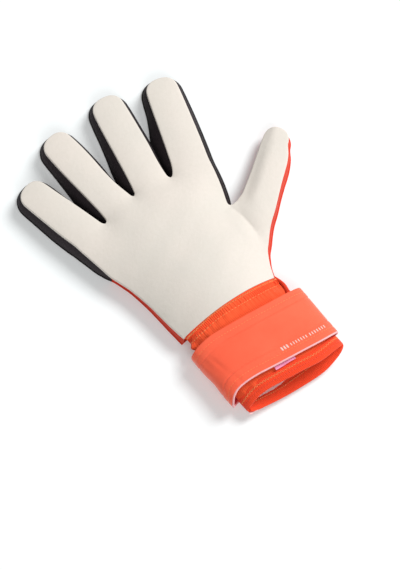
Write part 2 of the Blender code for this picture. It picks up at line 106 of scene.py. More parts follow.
def area_light(name, at, aim, size, power):
    data = bpy.data.lights.new(name, "AREA")
    data.shape = "DISK"
    data.size = size
    data.energy = power
    ob = bpy.data.objects.new(name, data)
    scene.collection.objects.link(ob)
    ob.location = at
    ob.rotation_euler = (Vector(at) - Vector(aim)).to_track_quat("Z", "Y").to_euler()
    return ob


area_light("key_light", (2.35, 0.35, 2.6), (-0.02, -0.02, 0.0), 1.7, 127.0)
area_light("fill_light", (-0.4, -1.9, 2.2), (0.0, 0.0, 0.0), 1.6, 27.0)

bm = bmesh.new()
bmesh.ops.create_grid(bm, x_segments=1, y_segments=1, size=3.0)
floor_mesh = bpy.data.meshes.new("floor")
bm.to_mesh(floor_mesh)
bm.free()
floor = bpy.data.objects.new("floor", floor_mesh)
scene.collection.objects.link(floor)


# ------------------------------------------------------------------ materials
class Nodes:
    """A short way to write a node material."""

    def __init__(self, name):
        self.mat = bpy.data.materials.new(name)
        self.mat.use_nodes = True
        self.tree = self.mat.node_tree
        self.bsdf = self.tree.nodes["Principled BSDF"]
        self.out = self.tree.nodes["Material Output"]

    def node(self, kind, **values):
        n = self.tree.nodes.new(kind)
        for k, v in values.items():
            setattr(n, k, v)
        return n

    def link(self, a, b):
        self.tree.links.new(a, b)

    def rest(self, scale=(1, 1, 1), turn=0.0):
        """Rest position in millimetres, which stays with the cloth as it bends."""
        a = self.node("ShaderNodeAttribute", attribute_name="rest")
        m = self.node("ShaderNodeMapping")
        m.inputs["Scale"].default_value = scale
        m.inputs["Rotation"].default_value = (0, 0, turn)
        self.link(a.outputs["Vector"], m.inputs["Vector"])
        return m.outputs["Vector"]

    def along(self, scale=(1, 1, 1), turn=0.0):
        """Distance along and across a strip in millimetres."""
        a = self.node("ShaderNodeUVMap", uv_map="along")
        m = self.node("ShaderNodeMapping")
        m.inputs["Scale"].default_value = scale
        m.inputs["Rotation"].default_value = (0, 0, turn)
        self.link(a.outputs["UV"], m.inputs["Vector"])
        return m.outputs["Vector"]

    def noise(self, vector, scale, detail=3.0, rough=0.55):
        n = self.node("ShaderNodeTexNoise")
        n.inputs["Scale"].default_value = scale
        n.inputs["Detail"].default_value = detail
        n.inputs["Roughness"].default_value = rough
        self.link(vector, n.inputs["Vector"])
        return n.outputs["Fac"]

    def wave(self, vector, scale, direction="X", distort=0.0):
        n = self.node("ShaderNodeTexWave", wave_type="BANDS", bands_direction=direction)
        n.inputs["Scale"].default_value = scale
        n.inputs["Distortion"].default_value = distort
        n.inputs["Detail"].default_value = 1.0
        self.link(vector, n.inputs["Vector"])
        return n.outputs["Fac"]

    def math(self, op, a, b=None, clamp=False):
        n = self.node("ShaderNodeMath", operation=op, use_clamp=clamp)
        for i, v in enumerate((a, b)):
            if v is None:
                continue
            if isinstance(v, (int, float)):
                n.inputs[i].default_value = v
            else:
                self.link(v, n.inputs[i])
        return n.outputs[0]

    def mix(self, fac, a, b):
        n = self.node("ShaderNodeMix", data_type="RGBA")
        if isinstance(fac, (int, float)):
            n.inputs["Factor"].default_value = fac
        else:
            self.link(fac, n.inputs["Factor"])
        for sock, v in ((n.inputs[6], a), (n.inputs[7], b)):
            if isinstance(v, tuple):
                sock.default_value = (*v, 1.0)
            else:
                self.link(v, sock)
        return n.outputs[2]

    def ramp(self, fac, lo, hi):
        n = self.node("ShaderNodeMapRange")
        n.inputs["From Min"].default_value = lo
        n.inputs["From Max"].default_value = hi
        self.link(fac, n.inputs["Value"])
        return n.outputs["Result"]

    def bump(self, heights, normal=None):
        """heights is a list of (socket, distance in millimetres), laid over each other."""
        out = normal
        for socket, mm in heights:
            b = self.node("ShaderNodeBump")
            b.inputs["Strength"].default_value = 1.0
            b.inputs["Distance"].default_value = mm * MM
            self.link(socket, b.inputs["Height"])
            if out is not None:
                self.link(out, b.inputs["Normal"])
            out = b.outputs["Normal"]
        self.link(out, self.bsdf.inputs["Normal"])

    def set(self, **values):
        for k, v in values.items():
            self.bsdf.inputs[k.replace("_", " ")].default_value = v


def hexc(r, g, b):
    """A colour given as display values, in linear light."""
    return tuple(((v / 255) / 12.92) if v / 255 <= 0.04045 else ((v / 255 + 0.055) / 1.055) ** 2.4 for v in (r, g, b))


def latex_material():
    m = Nodes("latex_foam")
    p = m.rest()
    broad = m.noise(p, 0.022, 2.0)
    mottle = m.noise(p, 0.35, 3.0)
    c = m.mix(m.ramp(broad, 0.35, 0.65), hexc(211, 205, 196), hexc(216, 208, 199))
    c = m.mix(m.math("MULTIPLY", m.ramp(mottle, 0.4, 0.7), 0.35), c, hexc(208, 202, 191))
    m.link(c, m.bsdf.inputs["Base Color"])
    pores = m.noise(p, 3.4, 2.0, 0.6)
    fine = m.noise(p, 9.0, 1.0)
    m.bump([(pores, 0.06), (fine, 0.02), (mottle, 0.15)])
    m.link(m.math("ADD", m.math("MULTIPLY", pores, 0.12), 0.66), m.bsdf.inputs["Roughness"])
    m.set(Sheen_Weight=0.12, Sheen_Roughness=0.5)
    m.bsdf.inputs["Specular IOR Level"].default_value = 0.35
    return m.mat


def woven(name, colour, gap_shade_and_fleck, pitch=0.55, bump=0.10, sheen=0.25, rough=0.8, vary=None, coords="rest", ribs=None, rib_bump=0.2, rib_turn=0.0):
    """Knit or woven cloth: two crossed thread waves, slow colour change and a little fuzz; the darker second colour is
    painted shade in the gaps between threads and in the rib valleys, and also gives the fuzz its random darker flecks.
    """
    m = Nodes(name)
    p = m.rest()
    q = m.along() if coords == "along" else p
    k = 1.0 / (pitch * 2 * PI) * 2 * PI / 20.0 * 2 * PI
    k = 2 * PI / (pitch * 20.0)
    warp = m.wave(q, k, "X")
    weft = m.wave(q, k, "Y")
    thread = m.math("MULTIPLY", warp, weft)
    broad = m.noise(p, 0.05, 3.0)
    fuzz = m.noise(p, 2.6, 3.0, 0.7)
    c = m.mix(m.ramp(broad, 0.3, 0.7), colour, vary or tuple(v * 0.92 for v in colour))
    # painted shade: the darker second colour where the thread waves are low, in the gaps between threads
    c = m.mix(m.math("MULTIPLY", m.math("SUBTRACT", 1.0, thread), 0.30), c, gap_shade_and_fleck)
    # random darker flecks of fuzz in the same darker colour
    c = m.mix(m.math("MULTIPLY", m.ramp(fuzz, 0.45, 0.75), 0.16), c, gap_shade_and_fleck)
    heights = [(thread, bump), (fuzz, 0.05)]
    if ribs:
        rq = m.along(turn=rib_turn) if coords == "along" else m.rest(turn=rib_turn)
        rib = m.wave(rq, 2 * PI / (ribs * 20.0), "X")
        heights.insert(0, (rib, rib_bump))
        # painted shade: the darker second colour in the valleys between ribs
        c = m.mix(m.math("MULTIPLY", m.math("SUBTRACT", 1.0, rib), 0.28), c, gap_shade_and_fleck)
    m.link(c, m.bsdf.inputs["Base Color"])
    m.link(m.math("ADD", m.math("MULTIPLY", fuzz, 0.15), rough - 0.08), m.bsdf.inputs["Roughness"])
    m.bump(heights)
    m.set(Sheen_Weight=sheen, Sheen_Roughness=0.45)
    m.bsdf.inputs["Specular IOR Level"].default_value = 0.3
    return m.mat


def thread_material(name, colour):
    m = Nodes(name)
    p = m.rest()
    tw = m.noise(p, 3.0, 2.0)
    c = m.mix(m.ramp(tw, 0.35, 0.7), colour, tuple(v * 0.72 for v in colour))
    m.link(c, m.bsdf.inputs["Base Color"])
    m.bump([(tw, 0.12)])
    m.set(Roughness=0.6, Sheen_Weight=0.2)
    return m.mat


LATEX = latex_material()
MESH = woven("gusset_mesh", hexc(52, 43, 48), hexc(24, 18, 21), pitch=0.9, bump=0.14, sheen=0.02, rough=0.85, coords="along", ribs=1.5, rib_bump=0.16)
MESH_DIAG = woven("gusset_mesh_diagonal", hexc(38, 30, 33), hexc(12, 9, 11), pitch=0.9, bump=0.14, sheen=0.02, rough=0.85, coords="along", ribs=2.3, rib_bump=0.45, rib_turn=0.75)
BINDING = woven("gusset_binding", hexc(28, 24, 26), hexc(12, 10, 11), pitch=0.6, sheen=0.1, coords="along", ribs=0.9, rib_bump=0.15)
BACK = woven("backhand_fabric", hexc(226, 64, 28), hexc(176, 32, 12), pitch=0.7, bump=0.1, sheen=0.05, vary=hexc(216, 56, 24))
ELASTIC = woven("cuff_elastic", hexc(255, 103, 52), hexc(220, 54, 24), pitch=0.6, bump=0.1, sheen=0.12, vary=hexc(254, 92, 44), coords="along", ribs=1.6, rib_bump=0.10)
ELASTIC_RIB = woven("cuff_seam_band", hexc(255, 82, 44), hexc(200, 42, 20), pitch=0.6, bump=0.1, sheen=0.2, coords="along", ribs=1.25, rib_bump=0.35)
HEM = woven("cuff_hem", hexc(255, 80, 34), hexc(212, 38, 16), pitch=0.6, bump=0.12, sheen=0.15, coords="along", ribs=1.4, rib_bump=0.16)
STRAP = woven("strap_fabric", hexc(255, 108, 74), hexc(232, 70, 42), pitch=0.5, bump=0.06, sheen=0.35, rough=0.7, vary=hexc(255, 100, 66), coords="along")
CRIMSON = woven("strap_inner", hexc(214, 26, 52), hexc(140, 8, 24), pitch=0.8, bump=0.16, sheen=0.3)
LINING = woven("inner_lining", hexc(255, 212, 210), hexc(240, 172, 172), pitch=1.0, bump=0.18, sheen=0.3)
PALE = woven("pale_tape", hexc(255, 196, 196), hexc(232, 150, 156), pitch=0.5, bump=0.08, sheen=0.3, coords="along", ribs=0.9, rib_bump=0.08)
LILAC = woven("tab_tape", hexc(250, 160, 196), hexc(222, 122, 164), pitch=0.5, bump=0.08, sheen=0.3)
LABEL = woven("label_tape", hexc(255, 214, 214), hexc(236, 176, 178), pitch=0.45, bump=0.06, sheen=0.2)
HOOK = woven("hook_tape", hexc(60, 20, 22), hexc(20, 8, 8), pitch=1.3, bump=0.5, sheen=0.05, rough=0.55)
THREAD = thread_material("thread_orange", hexc(255, 150, 84))
THREAD_DEEP = thread_material("thread_deep", hexc(238, 70, 40))
THREAD_BLACK = thread_material("thread_black", hexc(30, 26, 28))
THREAD_PALE = thread_material("thread_pale", hexc(226, 216, 200))
PRINT = thread_material("print_pale", hexc(255, 208, 196))

fm = Nodes("floor_white")
fp = fm.node("ShaderNodeTexCoord").outputs["Object"]
fn = fm.noise(fp, 3.0, 2.0)
fm.link(fm.mix(fm.ramp(fn, 0.3, 0.7), (0.672, 0.70, 0.702), (0.685, 0.713, 0.715)), fm.bsdf.inputs["Base Color"])
fm.set(Roughness=0.9, Emission_Color=(1.0, 1.0, 1.0, 1.0), Emission_Strength=0.22)
fm.bsdf.inputs["Specular IOR Level"].default_value = 0.1
floor_mesh.materials.append(fm.mat)


# ------------------------------------------------------------------ mesh helpers
def piece(name, verts, faces, mat, normals=None, uv=None, face_mats=None, cap=False, sharp=None):
    """An object from design millimetres.  normals: per vertex, kept as custom normals.
    cap closes any open border with flat faces."""
    verts = np.asarray(verts, float)
    used = np.unique(np.concatenate([np.asarray(f).ravel() for f in faces]))
    remap = -np.ones(len(verts), int)
    remap[used] = np.arange(len(used))
    mesh = bpy.data.meshes.new(name)
    rest = verts[used]
    mesh.from_pydata((world(rest)).tolist(), [], [[int(remap[i]) for i in f] for f in faces])
    mats = mat if isinstance(mat, (list, tuple)) else [mat]
    for mm in mats:
        mesh.materials.append(mm)
    if face_mats is not None:
        mesh.polygons.foreach_set("material_index", np.asarray(face_mats, np.int32))
    n_faces = len(mesh.polygons)
    mesh.shade_smooth()
    if uv is not None:
        layer = mesh.uv_layers.new(name="along")
        loops = np.empty(len(mesh.loops), np.int32)
        mesh.loops.foreach_get("vertex_index", loops)
        if isinstance(uv, list):            # per face corner
            flat = np.array([c for f in uv for c in f], float)
        else:
            flat = np.asarray(uv, float)[used][loops]
        layer.data.foreach_set("uv", flat.astype(np.float32).ravel())
    if cap:
        bmm = bmesh.new()
        bmm.from_mesh(mesh)
        border = [e for e in bmm.edges if e.is_boundary]
        made = bmesh.ops.holes_fill(bmm, edges=border, sides=0)["faces"]
        bmesh.ops.triangulate(bmm, faces=made)
        bmm.to_mesh(mesh)
        bmm.free()
    attr = mesh.attributes.new("rest", "FLOAT_VECTOR", "POINT")
    co = np.empty(len(mesh.vertices) * 3, np.float32)
    mesh.vertices.foreach_get("co", co)
    attr.data.foreach_set("vector", (co / MM).astype(np.float32))
    if normals is not None:
        nn = np.asarray(normals, float)[used]
        loops = np.empty(len(mesh.loops), np.int32)
        mesh.loops.foreach_get("vertex_index", loops)
        out = np.zeros((len(mesh.loops), 3))
        known = loops < len(nn)
        out[known] = nn[loops[known]]
        for poly in mesh.polygons[n_faces:]:
            for li in poly.loop_indices:
                out[li] = poly.normal
        mesh.normals_split_custom_set([tuple(v) for v in out])
    elif sharp is not None:
        mesh.set_sharp_from_angle(angle=math.radians(sharp))
    mesh.update()
    ob = bpy.data.objects.new(name, mesh)
    scene.collection.objects.link(ob)
    return ob


def vertex_normals(verts, faces):
    v = np.asarray(verts, float)
    out = np.zeros_like(v)
    tris = []
    for f in faces:
        for k in range(1, len(f) - 1):
            tris.append((f[0], f[k], f[k + 1]))
    t = np.array(tris)
    n = np.cross(v[t[:, 1]] - v[t[:, 0]], v[t[:, 2]] - v[t[:, 0]])
    for c in range(3):
        np.add.at(out, t[:, c], n)
    ln = np.linalg.norm(out, axis=1)
    return out / np.maximum(ln, 1e-12)[:, None]


def orient_out(ob):
    bmm = bmesh.new()
    bmm.from_mesh(ob.data)
    bmesh.ops.recalc_face_normals(bmm, faces=bmm.faces[:])
    bmm.to_mesh(ob.data)
    bmm.free()
    return ob


def thick_grid(name, grid, thick, mat, wrap_u=False, sharp=40.0, bevel=True, uv_scale=1.0, flip=False):
    """A sheet given as a grid of points (rows along v, columns along u), given a thickness inwards,
    with rounded edges."""
    g = np.asarray(grid, float)
    nv, nu = g.shape[:2]
    du = np.roll(g, -1, 1) - np.roll(g, 1, 1)
    if not wrap_u:
        du[:, 0], du[:, -1] = g[:, 1] - g[:, 0], g[:, -1] - g[:, -2]
    dv = np.empty_like(g)
    dv[1:-1] = g[2:] - g[:-2]
    dv[0], dv[-1] = g[1] - g[0], g[-1] - g[-2]
    n = np.cross(du, dv)
    n /= np.maximum(np.linalg.norm(n, axis=2), 1e-9)[..., None]
    if flip:
        n = -n
    tv = dv / np.maximum(np.linalg.norm(dv, axis=2), 1e-9)[..., None]
    th = np.asarray(thick, float)
    th = th if th.ndim else np.full((nv, nu), float(thick))
    rows = [g[0] - n[0] * (th[0] / 2)[:, None]]  # start in the middle of the thickness
    r = th / 2
    layers = []
    layers.append(g[0] - n[0] * (r[0] * 0.3)[:, None] - tv[0] * (r[0] * 0.7)[:, None] if bevel else g[0])
    start = layers[0]
    outer = [g[k] for k in range(nv)]
    inner = [g[k] - n[k] * th[k][:, None] for k in range(nv)]
    end_round_out = g[-1] + tv[-1] * (r[-1] * 0.7)[:, None] - n[-1] * (r[-1] * 0.3)[:, None]
    end_round_in = g[-1] + tv[-1] * (r[-1] * 0.7)[:, None] - n[-1] * (r[-1] * 1.7)[:, None]
    start_in = g[0] - n[0] * (r[0] * 1.7)[:, None] - tv[0] * (r[0] * 0.7)[:, None]
    loop = [start] + outer + [end_round_out, end_round_in] + inner[::-1] + [start_in]
    m = len(loop)
    verts = np.concatenate([row for row in loop])
    lu = np.zeros((nv, nu))
    seg = np.linalg.norm(np.diff(g[nv // 2], axis=0), axis=1)
    along = np.concatenate([[0], np.cumsum(seg)])
    step = np.linalg.norm(np.diff(g[:, nu // 2], axis=0), axis=1)
    across = np.concatenate([[0], np.cumsum(step)])
    vv = np.concatenate([[across[0]], across, [across[-1]] * 2, across[::-1], [0]])
    total_u = along[-1] + (np.linalg.norm(g[nv // 2][0] - g[nv // 2][-1]) if wrap_u else 0)
    faces, uvs = [], []
    cols = nu if wrap_u else nu - 1
    for a in range(m):
        b = (a + 1) % m
        va, vb = vv[a], vv[b]
        for j in range(cols):
            k = (j + 1) % nu
            faces.append((a * nu + j, a * nu + k, b * nu + k, b * nu + j))
            ua, ub = along[j], along[j + 1] if j + 1 < nu else total_u
            uvs.append([(ua, va), (ub, va), (ub, vb), (ua, vb)])
    ob = piece(name, verts, faces, mat, uv=uvs, cap=not wrap_u)
    orient_out(ob)
    if sharp:
        ob.data.set_sharp_from_angle(angle=math.radians(sharp))
    return ob


def tube(name, path, radius, mat, sides=8, closed=False, flat=None, normals=None):
    """A round cord along a path; flat=(out, up) squashes it, using the given normals as 'out'."""
    p = np.asarray(path, float)
    n = len(p)
    t = np.roll(p, -1, 0) - np.roll(p, 1, 0)
    if not closed:
        t[0], t[-1] = p[1] - p[0], p[-1] - p[-2]
    t /= np.maximum(np.linalg.norm(t, axis=1), 1e-9)[:, None]
    if normals is None:
        ref = np.tile(np.array([0.0, 0.0, 1.0]), (n, 1))
    else:
        ref = np.asarray(normals, float)
    u = ref - (ref * t).sum(1)[:, None] * t
    bad = np.linalg.norm(u, axis=1) < 1e-4
    u[bad] = np.array([1.0, 0.0, 0.0]) - t[bad, 0:1] * t[bad]
    u /= np.linalg.norm(u, axis=1)[:, None]
    w = np.cross(t, u)
    ru, rw = (radius, radius) if flat is None else flat
    verts, uv = [], []
    dist = np.concatenate([[0], np.cumsum(np.linalg.norm(np.diff(p, axis=0), axis=1))])
    for i in range(n):
        for k in range(sides):
            a = 2 * PI * k / sides
            verts.append(p[i] + u[i] * math.cos(a) * ru + w[i] * math.sin(a) * rw)
    faces, uvs = [], []
    last = n if closed else n - 1
    for i in range(last):
        j = (i + 1) % n
        for k in range(sides):
            l = (k + 1) % sides
            faces.append((i * sides + k, j * sides + k, j * sides + l, i * sides + l))
            d0, d1 = dist[i], dist[i + 1] if i + 1 < n else dist[i] + 1.0
            a0, a1 = k * 2 * PI * radius / sides, (k + 1) * 2 * PI * radius / sides
            uvs.append([(d0, a0), (d1, a0), (d1, a1), (d0, a1)])
    ob = piece(name, verts, faces, mat, uv=uvs, cap=not closed)
    return orient_out(ob)


def resample(path, step):
    p = np.asarray(path, float)
    d = np.concatenate([[0], np.cumsum(np.linalg.norm(np.diff(p, axis=0), axis=1))])
    n = max(2, int(round(d[-1] / step)) + 1)
    s = np.linspace(0, d[-1], n)
    return np.column_stack([np.interp(s, d, p[:, k]) for k in range(p.shape[1])])


def stitch_row(name, path, normals, mat, length=2.0, gap=0.8, radius=0.28, zigzag=0.0, lift=0.12):
    """A row of sewn stitches: each is a short thread that rises out of the cloth and dives back."""
    p = np.asarray(path, float)
    nn = np.asarray(normals, float)
    d = np.concatenate([[0], np.cumsum(np.linalg.norm(np.diff(p, axis=0), axis=1))])

    def at(s):
        s = min(max(s, 0.0), d[-1])
        q = np.array([np.interp(s, d, p[:, k]) for k in range(3)])
        m = np.array([np.interp(s, d, nn[:, k]) for k in range(3)])
        return q, m / np.linalg.norm(m)

    verts, faces = [], []
    s, turn = gap / 2, 1
    sides, rings = 6, 5
    while s + length < d[-1]:
        a, na = at(s)
        b, nb = at(s + length)
        up = (na + nb) / 2
        up /= np.linalg.norm(up)
        t = (b - a) / np.linalg.norm(b - a)
        side = np.cross(up, t)
        if zigzag:
            a, b = a + side * zigzag * turn, b - side * zigzag * turn
            t = (b - a) / np.linalg.norm(b - a)
            side = np.cross(up, t)
        base = len(verts)
        for r in range(rings):
            f = r / (rings - 1)
            c = a + (b - a) * f + up * (lift * math.sin(PI * f) + radius * (0.55 * math.sin(PI * f) - 0.25))
            w = radius * (0.55 + 0.45 * math.sin(PI * f))
            for k in range(sides):
                ang = 2 * PI * k / sides
                verts.append(c + side * math.cos(ang) * w + up * math.sin(ang) * w)
        for r in range(rings - 1):
            for k in range(sides):
                l = (k + 1) % sides
                faces.append((base + r * sides + k, base + r * sides + l, base + (r + 1) * sides + l, base + (r + 1) * sides + k))
        faces.append(tuple(base + k for k in reversed(range(sides))))
        faces.append(tuple(base + (rings - 1) * sides + k for k in range(sides)))
        s += length + gap
        turn = -turn
    ob = piece(name, verts, faces, mat)
    return orient_out(ob)


def smooth(lo, hi, v):
    t = np.clip((np.asarray(v, float) - lo) / (hi - lo), 0, 1)
    return t * t * (3 - 2 * t)


def catmull(points, step):
    """A smooth open curve through control points, resampled evenly."""
    p = np.asarray(points, float)
    ext = np.vstack([2 * p[0] - p[1], p, 2 * p[-1] - p[-2]])
    out = []
    for i in range(1, len(ext) - 2):
        p0, p1, p2, p3 = ext[i - 1], ext[i], ext[i + 1], ext[i + 2]
        t0 = 0.0
        t1 = t0 + max(1e-6, np.linalg.norm(p1 - p0)) ** 0.5
        t2 = t1 + max(1e-6, np.linalg.norm(p2 - p1)) ** 0.5
        t3 = t2 + max(1e-6, np.linalg.norm(p3 - p2)) ** 0.5
        for t in np.linspace(t1, t2, 13)[:-1]:
            a1 = (t1 - t) / (t1 - t0) * p0 + (t - t0) / (t1 - t0) * p1
            a2 = (t2 - t) / (t2 - t1) * p1 + (t - t1) / (t2 - t1) * p2
            a3 = (t3 - t) / (t3 - t2) * p2 + (t - t2) / (t3 - t2) * p3
            b1 = (t2 - t) / (t2 - t0) * a1 + (t - t0) / (t2 - t0) * a2
            b2 = (t3 - t) / (t3 - t1) * a2 + (t - t1) / (t3 - t1) * a3
            out.append((t2 - t) / (t2 - t1) * b1 + (t - t1) / (t2 - t1) * b2)
    out.append(p[-1])
    return resample(out, step)


# ------------------------------------------------------------------ the glove's outline in plan
FINGERS = {
    "little": dict(o=(-61.9, 112.1), head=-19.7, crease=-9.85, mid=27.0, tip=62.0,
                   w=[(-4, 13.6, 14.2), (0, 13.5, 13.5), (18, 13.6, 12.9), (39, 12.7, 12.0), (62, 11.6, 11.4)]),
    "ring": dict(o=(-30.6, 120.15), head=-10.7, crease=-5.35, mid=34.0, tip=77.0,
                 w=[(-4, 13.6, 13.8), (0, 13.3, 13.3), (10, 13.0, 12.0), (20, 13.0, 11.4), (48, 13.1, 12.8), (77, 11.8, 11.8)]),
    "middle": dict(o=(1.55, 121.9), head=4.0, crease=2.0, mid=36.0, tip=80.0,
                   w=[(-4, 14.6, 14.6), (0, 14.2, 14.2), (8, 13.8, 13.5), (28, 13.6, 13.9), (52, 13.5, 13.5), (80, 12.4, 12.4)]),
    "index": dict(o=(36.9, 117.9), head=12.0, crease=6.0, mid=34.0, tip=76.0,
                  w=[(-4, 15.6, 14.6), (0, 15.0, 14.6), (6, 14.4, 14.6), (22, 13.9, 14.4), (50, 13.4, 13.6), (76, 12.4, 12.4)]),
    "thumb": dict(o=(60.5, 61.2), head=48.0, crease=48.0, mid=31.0, tip=69.0,
                  w=[(-5, 18.5, 16.6), (0, 16.1, 16.1), (8, 12.5, 15.8), (25, 10.9, 15.0), (39, 10.3, 14.9), (46, 10.1, 14.6), (51.5, 9.8, 13.2), (57, 9.5, 11.3), (69, 9.4, 10.0)]),
}
CUT_A, CUT_B = -3.2, -8.5            # where a finger's base and tip pieces begin, from each crease

for f in FINGERS.values():
    a, c = math.radians(f["head"]), math.radians(f["crease"])
    f["d"], f["p"] = np.array([math.sin(a), math.cos(a)]), np.array([math.cos(a), -math.sin(a)])
    f["n"] = np.array([math.sin(c), math.cos(c)])
    f["K"] = np.array(f["o"])
    f["M"] = f["K"] + f["d"] * f["mid"]


def width(f, s, col):
    rows = f["w"]
    return float(np.interp(s, [r[0] for r in rows], [r[col] for r in rows]))


def fpoint(f, s, lat):
    return f["K"] + f["d"] * s + f["p"] * lat


def finger_controls(f, s_left, s_right):
    r = 12.0
    end = f["tip"] - r
    steps = 6 if f["tip"] > 70 else 8
    pts = [fpoint(f, s, -width(f, s, 1)) for s in np.linspace(s_left, end, steps)]
    wl, wr = width(f, end, 1), width(f, end, 2)
    for k in range(1, 10):
        a = PI * k / 10
        lat = -math.copysign(abs(math.cos(a)) ** 0.85, math.cos(a))
        pts.append(fpoint(f, end + r * math.sin(a) ** 0.85, lat * (wl if lat < 0 else wr)))
    pts += [fpoint(f, s, width(f, s, 2)) for s in np.linspace(end, s_right, steps)]
    return pts


side = [(-42.0, 1.2), (-43.4, 6.0), (-45.7, 15.0), (-48.1, 25.8), (-50.9, 38.0), (-56.6, 56.1), (-60.5, 64.6),
        (-64.2, 72.5), (-67.1, 82.0), (-70.2, 92.4), (-73.2, 102.2)]
outline = list(map(np.array, side))
outline += finger_controls(FINGERS["little"], 0.0, 1.0)
outline += [np.array(p) for p in ((-47.3, 112.4), (-45.2, 110.7), (-43.5, 112.4))]
outline += finger_controls(FINGERS["ring"], 0.0, 0.5)
outline += [np.array(p) for p in ((-16.3, 119.4), (-14.8, 118.0), (-13.4, 119.4))]
outline += finger_controls(FINGERS["middle"], 0.5, 1.0)
outline += [np.array(p) for p in ((16.2, 117.6), (17.9, 115.7), (19.8, 117.2))]
outline += finger_controls(FINGERS["index"], 1.5, -1.0)
outline += [np.array(p) for p in ((49.8, 103.7), (48.3, 94.0), (46.6, 85.5), (44.9, 78.5), (44.3, 75.2), (45.0, 73.0), (47.6, 72.4), (51.0, 73.0), (54.6, 74.5))]
outline += finger_controls(FINGERS["thumb"], 8.0, 2.0)
outline += [np.array(p) for p in ((65.6, 44.4), (60.1, 38.5), (55.1, 32.1), (50.6, 26.4), (47.8, 20.5), (45.7, 15.2), (43.9, 8.7), (43.0, 5.2))]
ring = catmull(outline, 1.5)
heel = catmull([np.array(p) for p in ((43.0, 5.2), (35.0, 5.4), (20.0, 5.6), (5.0, 5.2), (-10.0, 4.5), (-24.0, 3.3), (-34.0, 2.2), (-42.0, 1.2))], 2.0)[1:-1]


def insert_cuts(ring):
    found = []
    for name, f in FINGERS.items():
        for tag, base, off in (("A", f["K"], CUT_A), ("B", f["M"], CUT_B)):
            v = (ring - base) @ f["n"] - off
            centre = base + f["n"] * off
            crossing = []
            for i in np.nonzero(v[:-1] * v[1:] < 0)[0]:
                t = v[i] / (v[i] - v[i + 1])
                q = ring[i] + (ring[i + 1] - ring[i]) * t
                crossing.append((float((q - centre) @ f["p"]), i + t, q))
            for way in (-1, 1):
                lat, at, q = min((c for c in crossing if c[0] * way > 0), key=lambda c: abs(c[0]))
                found.append((at, q, (name, tag)))
    found.sort(key=lambda e: e[0])
    keys = [(float(i), ring[i], None) for i in range(len(ring)) if not any(abs(e[0] - i) < 0.3 for e in found)]
    merged = sorted(keys + found, key=lambda e: e[0])
    marks = {}
    for k, e in enumerate(merged):
        if e[2] is not None:
            marks.setdefault(e[2], []).append(k)
    return np.array([e[1] for e in merged]), marks


ring, marks = insert_cuts(ring)
for key, found in marks.items():
    assert len(found) == 2, (key, found)
NR = len(ring)


def turned(degrees):
    a = math.radians(degrees)
    return np.array([math.cos(a), -math.sin(a)])   # pointing right of a heading


HEADS = {nm: FINGERS[nm]["head"] for nm in FINGERS}
BOUNDS = {
    "little": (-19.7 - 55, (HEADS["little"] + HEADS["ring"]) / 2),
    "ring": ((HEADS["little"] + HEADS["ring"]) / 2, (HEADS["ring"] + HEADS["middle"]) / 2),
    "middle": ((HEADS["ring"] + HEADS["middle"]) / 2, (HEADS["middle"] + HEADS["index"]) / 2),
    "index": ((HEADS["middle"] + HEADS["index"]) / 2, 12.0 + 40),
    "thumb": (32.0, 48.0 + 55),
}


def beyond(q, line, ends):
    i, j = sorted(ends)
    t = line[j] - line[i]
    return (q - line[i]) @ (np.array([-t[1], t[0]]) / np.linalg.norm(t))


def region_of(q, line=None):
    """Which piece a plan point belongs to: hand, or a finger's base or tip.  A finger lies beyond
    its cut line and between the lines that run on from the cut's two ends."""
    q = np.atleast_2d(q)
    line = ring if line is None else line
    out = np.full(len(q), "hand", dtype=object)
    for name, f in FINGERS.items():
        i, j = sorted(marks[(name, "A")])
        a = beyond(q, line, (i, j))
        b = beyond(q, line, marks[(name, "B")])
        left = (q - line[i]) @ turned(BOUNDS[name][0])
        right = (q - line[j]) @ turned(BOUNDS[name][1])
        hit = (a > 1e-6) & (left > -0.05) & (right < 0.05) & (out == "hand")
        out[hit] = np.where(b[hit] > 1e-6, name + "_tip", name + "_base")
    return out


def outward(line, closed=False):
    t = np.roll(line, -1, 0) - np.roll(line, 1, 0)
    if not closed:
        t[0], t[-1] = line[1] - line[0], line[-1] - line[-2]
    t /= np.linalg.norm(t, axis=1)[:, None]
    return np.column_stack([-t[:, 1], t[:, 0]])


NRM = outward(ring)


def ray_gap(origin, direction, line):
    """Distance from each origin along its direction to the outline, or a large number."""
    a, b = line[:-1], line[1:]
    out = np.full(len(origin), 99.0)
    for i in range(len(origin)):
        o, d = origin[i], direction[i]
        e = b - a
        den = d[0] * e[:, 1] - d[1] * e[:, 0]
        den = np.where(np.abs(den) < 1e-9, 1e-9, den)
        w = a - o
        t = (w[:, 0] * e[:, 1] - w[:, 1] * e[:, 0]) / den
        u = (w[:, 0] * d[1] - w[:, 1] * d[0]) / den
        ok = (t > 0.3) & (u >= -0.01) & (u <= 1.01)
        if ok.any():
            out[i] = t[ok].min()
    return out


GAPS = ray_gap(ring, NRM, ring)


def finger_of(q):
    r = region_of(q)
    return np.array([str(v).rsplit("_", 1)[0] if v != "hand" else "hand" for v in r])


